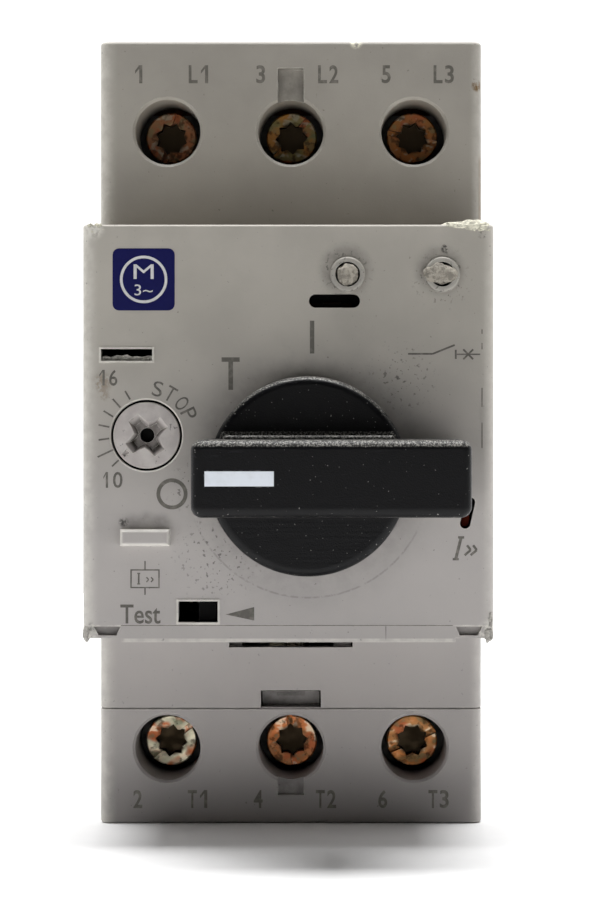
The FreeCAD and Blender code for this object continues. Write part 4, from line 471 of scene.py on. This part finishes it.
def yellow_zinc():
    """Passivated zinc on steel: gold with olive, rose and green drifts, dirt, and painted shade in
    places.
    """
    material, tree, shader, place = start("yellow_zinc", 0.4, 0.85)
    x, level, z = axes(tree, place)
    drift = noise(tree, place, 3.0, 1.5)
    second = noise(tree, place, 1.7, 2.0, stretch=(1, 1, 1.4))
    face = mix(tree, ramp(tree, drift, 0.38, 0.5), tint(218, 152, 80), tint(164, 150, 96))
    for screw_x, screw_z, cast, amount in SCREW_CASTS:
        on_head = near(tree, place, at(screw_x, SCREW_HEAD, screw_z), 3.0, 3.5)
        face = mix(tree, times(tree, on_head, amount), face, cast)
    face = mix(tree, ramp(tree, drift, 0.53, 0.62), face, tint(210, 122, 78))
    face = mix(tree, times(tree, ramp(tree, second, 0.57, 0.66), 0.4), face, tint(140, 166, 128))
    face = mix(tree, times(tree, ramp(tree, second, 0.44, 0.36), 0.6), face, tint(236, 228, 200))
    dirt = ramp(tree, noise(tree, place, 0.9, 3.0), 0.5, 0.64)
    face = mix(tree, times(tree, dirt, 0.7), face, tint(58, 40, 24))
    # Painted shade: the upper row of screw heads darker.
    upper_row_shade = slope(tree, z, 0.0, 1.0)
    face = mix(tree, times(tree, upper_row_shade, 0.45), face, tint(52, 36, 22))
    # The star recess darker: a dirty smudge round it and painted shade down in it.
    round_star = slope(tree, from_screw_axis(tree, x, z), 1.5, 2.15, 1.0, 0.0)
    smudge = times(tree, round_star, ramp(tree, second, 0.62, 0.42))
    star_depth_shade = slope(tree, level, SCREW_HEAD - 1.1, SCREW_HEAD - 1.6)
    face = mix(tree, math_node(tree, "MAXIMUM", smudge, star_depth_shade), face, tint(54, 43, 28))
    colour(tree, shader, face)
    rough(tree, shader, ramp(tree, second, 0.3, 0.7, 0.3, 0.55))
    bump(tree, shader, (noise(tree, place, 0.35, 3.0), 0.03, 0.5))
    return material


def bare_metal(name, base, roughness, tarnish=None, stretch=(1, 1, 1)):
    """Drawn or stamped metal with brush marks and patches of tarnish."""
    material, tree, shader, place = start(name, roughness, 1.0)
    marks = noise(tree, place, 0.5, 4.0, stretch=stretch)
    tarnished = ramp(tree, noise(tree, place, 3.5, 4.0), 0.42, 0.72)
    colour(tree, shader, mix(tree, times(tree, tarnished, 0.6), base, tarnish or shade(base, 0.55)))
    rough(tree, shader, ramp(tree, marks, 0.3, 0.7, roughness * 0.75, roughness * 1.3))
    bump(tree, shader, (marks, 0.015, 0.35))
    return material


def heater_sleeve():
    """Woven glass sleeve over the heater wire: pale, matt, with a fine weave."""
    material, tree, shader, place = start("heater_sleeve", 0.8)
    inputs = {"Vector": place, "Scale": 900.0, "Distortion": 1.5}
    weave = add(tree, "ShaderNodeTexWave", inputs).outputs["Fac"]
    colour(tree, shader, mix(tree, weave, tint(176, 166, 140), tint(222, 214, 192)))
    bump(tree, shader, (weave, 0.05, 0.6))
    return material


def print_ink(name, base, faded):
    """Printed ink, rubbed thin in patches."""
    material, tree, shader, place = start(name, 0.55)
    shader.inputs["Specular IOR Level"].default_value = 0.2
    rub = ramp(tree, noise(tree, place, 0.6, 4.0), 0.42, 0.72)
    colour(tree, shader, mix(tree, times(tree, rub, 0.6), base, faded))
    bump(tree, shader, (noise(tree, place, 0.25, 2.0), 0.02, 0.3))
    return material


FINISHES = {
    "case_plastic": case_plastic("case_plastic", WARM_GREY, spots=BODY_SPOTS, wear_light_and_shade=BODY_WEAR_LIGHT_AND_SHADE,
                                 painted_shade=BODY_PAINTED_SHADE),
    "knob_plastic": knob_plastic(),
    "white_inlay": inlay_white(),
    "seal_plastic": coloured_plastic("seal_plastic", tint(206, 202, 190), 0.5),
    "latch_plastic": coloured_plastic("latch_plastic", tint(52, 52, 54)),
    "carrier_plastic": coloured_plastic("carrier_plastic", tint(92, 58, 36)),
    # The flag's orange is darkened to a red-brown: painted shade for a flag deep in its slot.
    "flag_plastic": coloured_plastic("flag_plastic", tint(92, 27, 7), 0.8, 0.15),
    "slider_plastic": coloured_plastic("slider_plastic", tint(9, 8, 8), 0.8, 0.12),
    "bobbin_plastic": coloured_plastic("bobbin_plastic", tint(214, 206, 178)),
    "screw_zinc": yellow_zinc(),
    # The clamps are far darker than bare zinc: painted shade for what shows down the screw wells.
    "clamp_zinc": bare_metal("clamp_zinc", tint(92, 90, 86), 0.45),
    "spring_steel": bare_metal("spring_steel", tint(168, 168, 170), 0.3),
    "magnet_steel": bare_metal("magnet_steel", tint(142, 142, 144), 0.4, tarnish=tint(96, 84, 70)),
    # The copper is darkened nearly to brown-black: painted shade for the bar ends that show round the
    # screw heads.
    "copper": bare_metal("copper", tint(70, 42, 28), 0.5, tarnish=tint(44, 27, 19)),
    "contact_silver": bare_metal("contact_silver", tint(222, 218, 208), 0.26),
    "bimetal": bare_metal("bimetal", tint(176, 164, 140), 0.32, stretch=(1, 1, 0.1)),
    "heater_glass": heater_sleeve(),
}

OWN_FINISHES = {
    "front_cover": case_plastic("cover_plastic", WARM_GREY, COVER_SPOTS, COVER_SMUDGES_AND_SHADOWS, COVER_PEPPER,
                                COVER_WEAR_AND_LIGHT, rub_mark=0.25),
    "setting_dial": dial_plastic(),
}

for subpart in frame["record"]["subparts"]:
    node = subpart["node"]
    solid = frame["nodes"][node]
    solid.data.materials.clear()
    solid.data.materials.append(OWN_FINISHES.get(node, FINISHES[subpart["material_slot"]]))

# Printed marks


def bar(shape, start_xz, end_xz, width, level):
    """A straight printed stroke between two points of the face."""
    (x0, z0), (x1, z1) = start_xz, end_xz
    length, turn = math.hypot(x1 - x0, z1 - z0), math.atan2(z1 - z0, x1 - x0)
    size = Matrix.Diagonal((length * MM, PRINT_THICK * MM, width * MM, 1))
    middle = Matrix.Translation(at((x0 + x1) / 2, level + PRINT_MIDDLE, (z0 + z1) / 2))
    bmesh.ops.create_cube(shape, size=1.0, matrix=middle @ Matrix.Rotation(-turn, 4, "Y") @ size)


def ring(shape, x, z, radius, width, level):
    """A printed circle about a point of the face."""
    low, high = radius - width / 2, radius + width / 2
    back, front = level - PRINT_SUNK, level + PRINT_PROUD
    corners = ((low, back), (high, back), (high, front), (low, front))
    verts = [shape.verts.new(at(x + across, forward, z)) for across, forward in corners]
    face = shape.faces.new(verts)
    bmesh.ops.spin(shape, geom=[face, *face.edges, *verts], cent=at(x, 0, z), axis=(0, -1, 0),
                   angle=math.tau, steps=60, use_merge=True)


def patch(shape, points, level):
    """A filled printed outline."""
    face = shape.faces.new([shape.verts.new(at(x, level - PRINT_SUNK, z)) for x, z in points])
    grown = bmesh.ops.extrude_face_region(shape, geom=[face])["geom"]
    moved = [g for g in grown if isinstance(g, bmesh.types.BMVert)]
    bmesh.ops.translate(shape, verts=moved, vec=at(0, PRINT_THICK, 0))


def lettering(shape, text, box, level, weight=0.0, turn=0.0):
    """Letters fitted into box = (left, bottom, right, top) on the face, turned about the box's middle."""
    curve = bpy.data.curves.new("letters", "FONT")
    curve.body = text
    curve.offset = weight
    curve.extrude = 0.5
    curve.resolution_u = 4
    holder = bpy.data.objects.new("letters", curve)
    bpy.context.collection.objects.link(holder)
    drawn = holder.evaluated_get(bpy.context.evaluated_depsgraph_get())
    mesh = bpy.data.meshes.new_from_object(drawn)
    lows = [min(v.co[i] for v in mesh.vertices) for i in range(2)]
    highs = [max(v.co[i] for v in mesh.vertices) for i in range(2)]
    wide, tall = highs[0] - lows[0], highs[1] - lows[1]
    left, bottom, right, top = box
    centre = Matrix.Translation((-(lows[0] + highs[0]) / 2, -(lows[1] + highs[1]) / 2, 0))
    size = Matrix.Diagonal(((right - left) * MM / wide, (top - bottom) * MM / tall, PRINT_THICK * MM, 1))
    upright = Matrix.Rotation(math.radians(90), 4, "X")
    spin = Matrix.Rotation(math.radians(-turn), 4, "Y")
    place = Matrix.Translation(at((left + right) / 2, level + PRINT_MIDDLE, (bottom + top) / 2))
    mesh.transform(place @ spin @ upright @ size @ centre)
    shape.from_mesh(mesh)
    bpy.data.objects.remove(holder)
    bpy.data.curves.remove(curve)
    bpy.data.meshes.remove(mesh)


def figure_one(shape, box, stroke, level):
    """A figure 1 with its flag, drawn as one outline in box = (left, bottom, right, top)."""
    left, bottom, right, top = box
    stem = right - stroke
    flag = top - 0.3 * (top - bottom)
    patch(shape, ((stem, bottom), (right, bottom), (right, top), (stem, top), (left, flag),
                  (left, flag - stroke), (stem, top - 1.1 * stroke)), level)


def chain(shape, points, width, level):
    """Straight strokes from point to point, each a step above the one before."""
    for step, ends in enumerate(zip(points, points[1:])):
        bar(shape, ends[0], ends[1], width, level + step * STROKE_STEP)


def piece(name, shape, material, body, smooth=False):
    """Makes an object of a finished shape and lets it ride on a body."""
    bmesh.ops.recalc_face_normals(shape, faces=shape.faces)
    for face in shape.faces:
        face.smooth = smooth
    mesh = bpy.data.meshes.new(name)
    shape.to_mesh(mesh)
    shape.free()
    mesh.materials.append(material)
    made = bpy.data.objects.new(name, mesh)
    bpy.context.collection.objects.link(made)
    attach(made, body)
    return made


grey_ink = print_ink("grey_ink", tint(100, 97, 92), tint(142, 138, 131))
face_ink = print_ink("face_ink", tint(104, 101, 95), tint(140, 136, 128))
fine_ink = print_ink("fine_ink", tint(116, 112, 106), tint(150, 146, 138))
blue_ink = print_ink("blue_ink", tint(5, 8, 76), tint(10, 13, 82))
white_ink = print_ink("white_ink", tint(214, 214, 214), tint(196, 196, 196))


def terminal_numbers():
    """Plain terminal numbers over and under the screw wells."""
    shape = bmesh.new()
    half_height, half_width, gap = 1.05, 0.52, 0.14
    half_one, one_stroke = 0.42, 0.36
    rows = ((41.7, (("1", -17.7), ("L1", -10.7), ("3", -3.5), ("L2", 4.35), ("5", 11.1), ("L3", 17.8))),
            (-42.65, (("2", -17.8), ("T1", -10.8), ("4", -3.8), ("T2", 4.1), ("6", 10.7), ("T3", 17.2))))
    for z, marks in rows:
        low, high = z - half_height, z + half_height
        for text, x in marks:
            for place, letter in enumerate(text):
                middle = x + (2 * place - len(text) + 1) * (half_width + gap)
                if letter == "1":
                    box = (middle - half_one, low, middle + half_one, high)
                    figure_one(shape, box, one_stroke, TERMINAL_FACE)
                else:
                    box = (middle - half_width, low, middle + half_width, high)
                    lettering(shape, letter, box, TERMINAL_FACE, weight=0.02)
    piece("terminal_numbers", shape, face_ink, "case")


def handle_marks():
    """The three handle positions: a bar, a T and a ring."""
    shape = bmesh.new()
    bar(shape, (2.62, 12.34), (2.62, 8.75), 0.48, COVER_FACE)
    patch(shape, ((-7.28, 8.33), (-7.28, 7.84), (-6.53, 7.84), (-6.53, 4.77), (-6.03, 4.77),
                  (-6.03, 7.84), (-5.3, 7.84), (-5.3, 8.33)), COVER_FACE)
    ring(shape, -12.7, -6.6, 1.49, 0.42, COVER_FACE)
    piece("handle_marks", shape, face_ink, "case")


def dial_scale():
    """Numbers, strokes and the curved word round the setting dial."""
    shape = bmesh.new()
    strokes = (
        ((-17.83, 4.65), (-17.28, 3.72)),
        ((-19.18, 3.78), (-18.34, 2.83)),
        ((-20.18, 2.47), (-19.14, 1.83)),
        ((-20.73, 0.94), (-19.55, 0.71)),
        ((-20.73, -0.71), (-19.55, -0.54)),
        ((-20.84, -2.58), (-19.15, -1.78)),
        ((-19.27, -3.6), (-18.52, -2.9)),
    )
    for outer, inner in strokes:
        bar(shape, outer, inner, 0.19, COVER_FACE)
    one_stroke = 0.24
    figure_one(shape, (-20.65, 5.25, -20.06, 6.96), one_stroke, COVER_FACE)
    lettering(shape, "6", (-19.57, 5.22, -18.68, 6.96), COVER_FACE, weight=0.01)
    figure_one(shape, (-20.2, -5.94, -19.7, -4.22), one_stroke, COVER_FACE)
    lettering(shape, "0", (-19.15, -5.95, -18.11, -4.2), COVER_FACE, weight=0.01)
    word_x, word_z, word_radius = DIAL_X + 0.1, DIAL_Z + 0.15, 5.05
    half_width, half_height = 0.55, 0.84
    for letter, angle in zip("STOP", (77, 60, 41.5, 25.5)):
        way = math.radians(angle)
        x, z = word_x + word_radius * math.cos(way), word_z + word_radius * math.sin(way)
        box = (x - half_width, z - half_height, x + half_width, z + half_height)
        lettering(shape, letter, box, COVER_FACE, turn=angle - 90)
    piece("dial_scale", shape, grey_ink, "case")


def breaker_sign(shape):
    """The circuit sign of a breaker: a lead, an open blade, a contact bar and a crossed lead."""
    lead_z, cross_half = 8.66, 0.54
    chain(shape, ((13.11, 8.71), (15.8, 8.71), (18.22, 9.68)), 0.2, COVER_FACE)
    bar(shape, (18.33, 9.16), (18.33, 8.16), 0.2, COVER_FACE)
    bar(shape, (18.33, lead_z), (21.0, lead_z), 0.16, COVER_FACE + STROKE_STEP)
    for step, tilt in enumerate((-cross_half, cross_half)):
        level = COVER_FACE + (step + 2) * STROKE_STEP
        bar(shape, (19.15, lead_z - tilt), (20.23, lead_z + tilt), 0.2, level)


def overcurrent_sign(shape, x, z, height, slant, stroke, arrows):
    """A serif I from its lower left corner, and two arrows that start at given millimetres beside it."""
    def point(across, up):
        return x + across + slant * up, z + up

    serif = 0.28 * height
    bar(shape, point(serif / 2, 0), point(serif / 2, height), 1.3 * stroke, COVER_FACE)
    for up in (0, height):
        bar(shape, point(0, up), point(serif, up), stroke, COVER_FACE + STROKE_STEP)
    for left in arrows:
        chain(shape, (point(left, 0.64 * height), point(left + 0.22 * height, 0.42 * height),
                      point(left, 0.18 * height)), stroke, COVER_FACE)


def trip_frame(shape):
    """The frame of the small overcurrent sign, with its two leads."""
    left, right, top, bottom = -17.25, -14.05, -14.92, -16.85
    middle, line = -15.65, 0.14
    for z in (top, bottom):
        bar(shape, (left, z), (right, z), line, COVER_FACE)
    for x in (-17.18, -14.12):
        bar(shape, (x, top), (x, bottom), line, COVER_FACE + STROKE_STEP)
    for high, low in ((-13.95, top), (bottom, -17.65)):
        bar(shape, (middle, high), (middle, low), line, COVER_FACE + STROKE_STEP)


def small_signs():
    """The breaker sign, the overcurrent signs, the test mark and the fine frame lines."""
    shape = bmesh.new()
    breaker_sign(shape)
    overcurrent_sign(shape, 17.99, -13.74, 2.38, 0.25, 0.26, (1.2, 1.86))
    overcurrent_sign(shape, -16.5, -16.45, 1.15, 0.0, 0.14, (1.0, 1.5))
    trip_frame(shape)
    lettering(shape, "Test", (-18.35, -20.8, -13.96, -18.7), COVER_FACE, weight=0.012)
    patch(shape, ((-6.84, -19.79), (-3.71, -18.97), (-3.71, -20.45)), COVER_FACE)
    piece("small_signs", shape, grey_ink, "case")
    fine = bmesh.new()
    bar(fine, (-18.3, -21.0), (18.0, -21.0), 0.08, COVER_FACE)
    for low, high in ((10.9, 11.4), (9.2, 9.9), (2.9, 5.0), (-1.6, 1.2)):
        bar(fine, (21.2, low), (21.2, high), 0.12, COVER_FACE)
    piece("frame_lines", fine, fine_ink, "case")


def motor_badge():
    """A plain blue square with the usual circuit sign for a three-phase motor."""
    badge = bmesh.new()
    half, corner, corner_steps = 3.4, 0.7, 4
    points = []
    for quarter, (side_x, side_z) in enumerate(((1, 1), (-1, 1), (-1, -1), (1, -1))):
        for step in range(corner_steps + 1):
            way = math.radians(90 * quarter + 90 / corner_steps * step)
            points.append((BADGE_X + side_x * (half - corner) + corner * math.cos(way),
                           BADGE_Z + side_z * (half - corner) + corner * math.sin(way)))
    patch(badge, points, COVER_FACE)
    piece("motor_badge", badge, blue_ink, "case")
    sign = bmesh.new()
    face = COVER_FACE + PRINT_PROUD
    ring(sign, BADGE_X, BADGE_Z, 2.45, 0.3, face)
    lettering(sign, "M", (-16.9, 16.9, -14.7, 18.5), face)
    lettering(sign, "3~", (-16.8, 15.1, -14.8, 16.3), face)
    piece("motor_sign", sign, white_ink, "case")


# Rough and worn pieces


def lump(shape, centre, size, throw, seed, flat=1.0):
    """A rough lump: a ball pressed to size, its front and back flattened, its surface thrown about."""
    swirl, octaves = 1.8, 4
    ball = bmesh.ops.create_icosphere(shape, subdivisions=4, radius=1.0)["verts"]
    for vert in ball:
        way = vert.co.copy()
        push = 1 + throw * relief.fractal(way * swirl + Vector((seed, seed / 2, 0)), 1.0, 2.0, octaves)
        forward = math.copysign(abs(way.y) ** flat, way.y)
        pressed = Vector((way.x * size[0], forward * size[1], way.z * size[2]))
        vert.co = at(*centre) + pressed * (push * MM / 2)


def torn_plastic(name, base):
    """Pale torn plastic: ragged, matt and streaked with dirt."""
    material, tree, shader, place = start(name, 0.65)
    torn = noise(tree, place, 0.5, 5.0, 0.65)
    face = mix(tree, ramp(tree, torn, 0.58, 0.4, 0.0, 0.9), base, shade(base, 0.55))
    dirt = ramp(tree, noise(tree, place, 0.35, 2.0), 0.66, 0.74, 0.0, 0.7)
    colour(tree, shader, mix(tree, dirt, face, SOOT_AND_SHADE))
    bump(tree, shader, (torn, 0.3, 0.9))
    return material


def seal_plugs():
    """The two seal plugs: the left one worn, the right one broken and smeared over its ring."""
    shape = bmesh.new()
    lump(shape, (6.5, 57.6, 17.4), (2.4, 2.5, 2.4), 0.14, 3.1, 0.3)
    lump(shape, (16.85, 57.3, 17.4), (2.2, 2.2, 2.2), 0.12, 7.7, 0.3)
    lump(shape, (16.7, 58.5, 17.45), (3.7, 0.7, 2.1), 0.3, 1.3)
    finish = torn_plastic("seal_plug", tint(178, 171, 158))
    made = piece("worn_seal_plugs", shape, finish, "case", smooth=True)
    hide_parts("seal_plugs")


def worn_corners():
    """The rubbed lump on the cover's top right edge and the crumbs at its top left corner."""
    shape = bmesh.new()
    lump(shape, (18.7, 57.5, 22.75), (3.8, 1.3, 0.9), 0.18, 2.3)
    lump(shape, (20.3, 57.5, 22.7), (3.2, 1.4, 1.5), 0.2, 4.9)
    lump(shape, (21.3, 57.5, 22.45), (1.7, 1.3, 1.3), 0.25, 7.4)
    crumbs = ((-21.6, 22.75, 0.7, 1.1), (-20.8, 22.7, 0.9, 6.2), (-20.2, 22.3, 0.45, 8.4),
              (-21.4, 22.1, 0.4, 9.5))
    for x, z, wide, seed in crumbs:
        lump(shape, (x, 57.75, z), (wide, 0.6, 0.6 * wide), 0.5, seed)
    finish = torn_plastic("rubbed_plastic", CREAM)
    piece("rubbed_corners", shape, finish, "case", smooth=True)


def frayed_corners():
    """The frayed plastic at the cover's two lower corners."""
    shape = bmesh.new()
    lump(shape, (21.95, 57.4, -22.0), (1.0, 1.3, 1.7), 0.25, 5.2, 0.5)
    lump(shape, (22.1, 57.5, -20.4), (0.6, 0.9, 1.7), 0.3, 3.7, 0.5)
    lump(shape, (-22.1, 57.4, -21.9), (0.75, 1.3, 1.8), 0.2, 6.6, 0.5)
    finish = torn_plastic("frayed_plastic", tint(196, 192, 185))
    piece("frayed_corners", shape, finish, "case", smooth=True)


def knob_root():
    """The rounded root where the handle's bar rises from the disc."""
    shape = bmesh.new()
    middle, size = Matrix.Translation(at(2.3, 63.1, -0.62)), (18.4 * MM, 1.1 * MM, 0.9 * MM, 1)
    bmesh.ops.create_cube(shape, size=1.0, matrix=middle @ Matrix.Diagonal(size))
    bmesh.ops.bevel(shape, geom=list(shape.edges), offset=0.3 * MM, affect="EDGES", segments=4,
                    profile=0.5, material=-1)
    piece("knob_root", shape, FINISHES["knob_plastic"], "knob")


def label_scrap():
    """What is left of a paper label in the slot beside the badge."""
    shape = bmesh.new()
    torn_edge = (8.42, 8.5, 8.36, 8.6, 8.52, 8.66, 8.4, 8.5, 8.38, 8.56, 8.46)
    left, right, bottom, level = -20.48, -14.86, 7.94, 57.3
    step = (right - left) / (len(torn_edge) - 1)
    edge = [(left + step * place, height) for place, height in enumerate(torn_edge)]
    patch(shape, [(left, bottom), (right, bottom), *reversed(edge)], level)
    piece("label_scrap", shape, torn_plastic("label_paper", tint(214, 211, 202)), "case")


# Springs


def shortening_spring(name, node):
    """A copy of a spring's mesh that rides on the case in place of the imported spring."""
    made = bpy.data.objects.new(name, frame["nodes"][node].data.copy())
    bpy.context.collection.objects.link(made)
    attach(made, "case")
    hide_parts(node)
    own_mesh(made)


# The setting dial


def loop_edges(verts):
    """The edges that join the given vertices."""
    inside = set(verts)
    touching = dict.fromkeys(edge for vert in verts for edge in vert.link_edges)
    return [edge for edge in touching if inside.issuperset(edge.verts)]


def dial_point(radius, angle):
    """A point of the dial's face, from its radius and its angle from +x towards +z."""
    way = math.radians(angle)
    return DIAL_X + radius * math.cos(way), DIAL_Z + radius * math.sin(way)


def dial_circle(shape, radius, level, segments):
    """A circle of edges about the dial's axis."""
    place = Matrix.Translation(at(DIAL_X, level, DIAL_Z)) @ Matrix.Rotation(math.radians(90), 4, "X")
    made = bmesh.ops.create_circle(shape, cap_ends=False, segments=segments, radius=radius * MM,
                                   matrix=place)
    return loop_edges(made["verts"])


def sunk(shape, points, depth, shrink, middle):
    """A recess with sloping walls under an outline of the dial's face: its rim's edges and its floor."""
    lid = shape.faces.new([shape.verts.new(at(x, DIAL_FACE, z)) for x, z in points])
    rim = list(lid.edges)
    grown = bmesh.ops.extrude_face_region(shape, geom=[lid])["geom"]
    floor = next(g for g in grown if isinstance(g, bmesh.types.BMFace))
    about_middle = Matrix.Translation(-at(middle[0], 0, middle[1]))
    bmesh.ops.scale(shape, vec=(shrink, 1, shrink), space=about_middle, verts=floor.verts)
    bmesh.ops.translate(shape, verts=floor.verts, vec=at(0, -depth, 0))
    bmesh.ops.delete(shape, geom=[lid], context="FACES_ONLY")
    return rim, floor


def pulled(shape, edges, grow, forward):
    """Extrudes a loop of edges, grown about the dial's axis and moved forward; gives the new loop."""
    made = bmesh.ops.extrude_edge_only(shape, edges=edges)["geom"]
    verts = [g for g in made if isinstance(g, bmesh.types.BMVert)]
    about_axis = Matrix.Translation(-at(DIAL_X, 0, DIAL_Z))
    bmesh.ops.scale(shape, vec=(grow, 1, grow), space=about_axis, verts=verts)
    bmesh.ops.translate(shape, verts=verts, vec=at(0, forward, 0))
    return loop_edges(verts)


def setting_dial():
    """The setting dial: flared cross recess with a hole, pointer groove, flange, spindle and cam."""
    shape = bmesh.new()
    cross_turn, cross_depth, hole_radius, hole_depth = 37, 1.0, 0.8, 1.8
    arm = ((2.5, -16), (2.5, 16), (1.8, 26), (1.4, 45), (1.8, 64))
    cross = [dial_point(radius, cross_turn + 90 * quarter + angle)
             for quarter in range(4) for radius, angle in arm]
    cross_rim, cross_floor = sunk(shape, cross, cross_depth, 0.66, (DIAL_X, DIAL_Z))
    floor_edges = list(cross_floor.edges)
    bmesh.ops.delete(shape, geom=[cross_floor], context="FACES_ONLY")
    hole = dial_circle(shape, hole_radius, DIAL_FACE - cross_depth, 32)
    bmesh.ops.triangle_fill(shape, use_beauty=True, edges=floor_edges + hole)
    bmesh.ops.edgeloop_fill(shape, edges=pulled(shape, hole, 1.0, -hole_depth))
    groove = [dial_point(*corner) for corner in ((2.62, 214), (2.62, 226), (3.4, 224.5), (3.4, 217.5))]
    groove_rim = sunk(shape, groove, 0.3, 0.75, dial_point(3.05, 221))[0]
    # Radius and level along the dial's side, from its face to the end of its spindle.
    outline = ((3.57, DIAL_FACE), (3.65, DIAL_FACE - 0.08), (3.65, 56.0), (4.65, 56.0), (4.65, 54.4),
               (1.5, 54.4), (1.5, 38.0))
    rim = dial_circle(shape, outline[0][0], DIAL_FACE, 96)
    bmesh.ops.triangle_fill(shape, use_beauty=True, edges=rim + cross_rim + groove_rim)
    for (radius, level), (next_radius, next_level) in zip(outline, outline[1:]):
        rim = pulled(shape, rim, next_radius / radius, next_level - level)
    bmesh.ops.edgeloop_fill(shape, edges=rim)
    cam = Matrix.Translation(at(DIAL_X + 0.9, 43.75, DIAL_Z)) @ Matrix.Rotation(math.radians(90), 4, "X")
    bmesh.ops.create_cone(shape, cap_ends=True, segments=64, radius1=2.6 * MM, radius2=2.6 * MM,
                          depth=2.5 * MM, matrix=cam)
    made = piece("cross_dial", shape, OWN_FINISHES["setting_dial"], "dial")
    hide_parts("setting_dial")


terminal_numbers()
handle_marks()
dial_scale()
small_signs()
motor_badge()
seal_plugs()
worn_corners()
frayed_corners()
label_scrap()
knob_root()
setting_dial()
shortening_spring("latch_return_spring", "rail_latch_spring")
shortening_spring("carrier_return_springs", "opening_springs")

# Floor, light and camera


def paper_floor():
    """White paper; far from the object it glows for the camera, so it runs into the background."""
    mesh = bpy.data.meshes.new("floor")
    sheet = bmesh.new()
    bmesh.ops.create_grid(sheet, x_segments=1, y_segments=1, size=1.0,
                          matrix=Matrix.Translation((0, -0.65, FLOOR_Z * MM)))
    sheet.to_mesh(mesh)
    sheet.free()
    paper, tree, shader, place = start("white_paper", 0.9)
    fibre = noise(tree, place, 2.0)
    colour(tree, shader, mix(tree, fibre, tint(246, 246, 246), tint(250, 250, 250)))
    far = slope(tree, vector_node(tree, "LENGTH", place), 200.0, 450.0)
    looked_at = add(tree, "ShaderNodeLightPath").outputs["Is Camera Ray"]
    shader.inputs["Emission Color"].default_value = (1, 1, 1, 1)
    tree.links.new(times(tree, far, looked_at), shader.inputs["Emission Strength"])
    mesh.materials.append(paper)
    floor = bpy.data.objects.new("floor", mesh)
    bpy.context.collection.objects.link(floor)


def softbox():
    """One wide soft light overhead."""
    lamp = bpy.data.lights.new("overhead_softbox", "AREA")
    lamp.shape = "RECTANGLE"
    lamp.size, lamp.size_y = 0.8, 0.3
    lamp.energy = 16.6
    holder = bpy.data.objects.new("overhead_softbox", lamp)
    holder.location = (0, -0.04, 1.0)
    bpy.context.collection.objects.link(holder)


def white_room():
    """A white background that gives light from behind the object and hardly any from the front."""
    world = bpy.data.worlds.new("white_room")
    world.use_nodes = True
    nodes = world.node_tree
    direction = add(nodes, "ShaderNodeTexCoord").outputs["Generated"]
    depth = add(nodes, "ShaderNodeSeparateXYZ", {"Vector": direction}).outputs["Y"]
    seen = add(nodes, "ShaderNodeLightPath").outputs["Is Camera Ray"]
    bright = math_node(nodes, "MAXIMUM", ramp(nodes, depth, -0.15, 0.4, 0.0, 1.15), seen)
    room = nodes.nodes["Background"]
    nodes.links.new(bright, room.inputs["Strength"])
    room.inputs["Color"].default_value = (1, 1, 1, 1)
    bpy.context.scene.world = world


def camera():
    """Straight in front, as far away as the photo's scale steps show."""
    lens = bpy.data.cameras.new("camera")
    lens.lens = 102.42
    lens.sensor_fit = "VERTICAL"
    lens.sensor_height = 36.0
    lens.shift_x = -0.0356
    lens.shift_y = -0.0356
    lens.clip_start = 0.01
    holder = bpy.data.objects.new("camera", lens)
    holder.location = (0.0048, -0.338, 0.0017)
    holder.rotation_euler = (math.radians(90), 0, 0)
    bpy.context.collection.objects.link(holder)
    bpy.context.scene.camera = holder


paper_floor()
softbox()
white_room()
camera()
bpy.context.scene.view_settings.view_transform = "Standard"
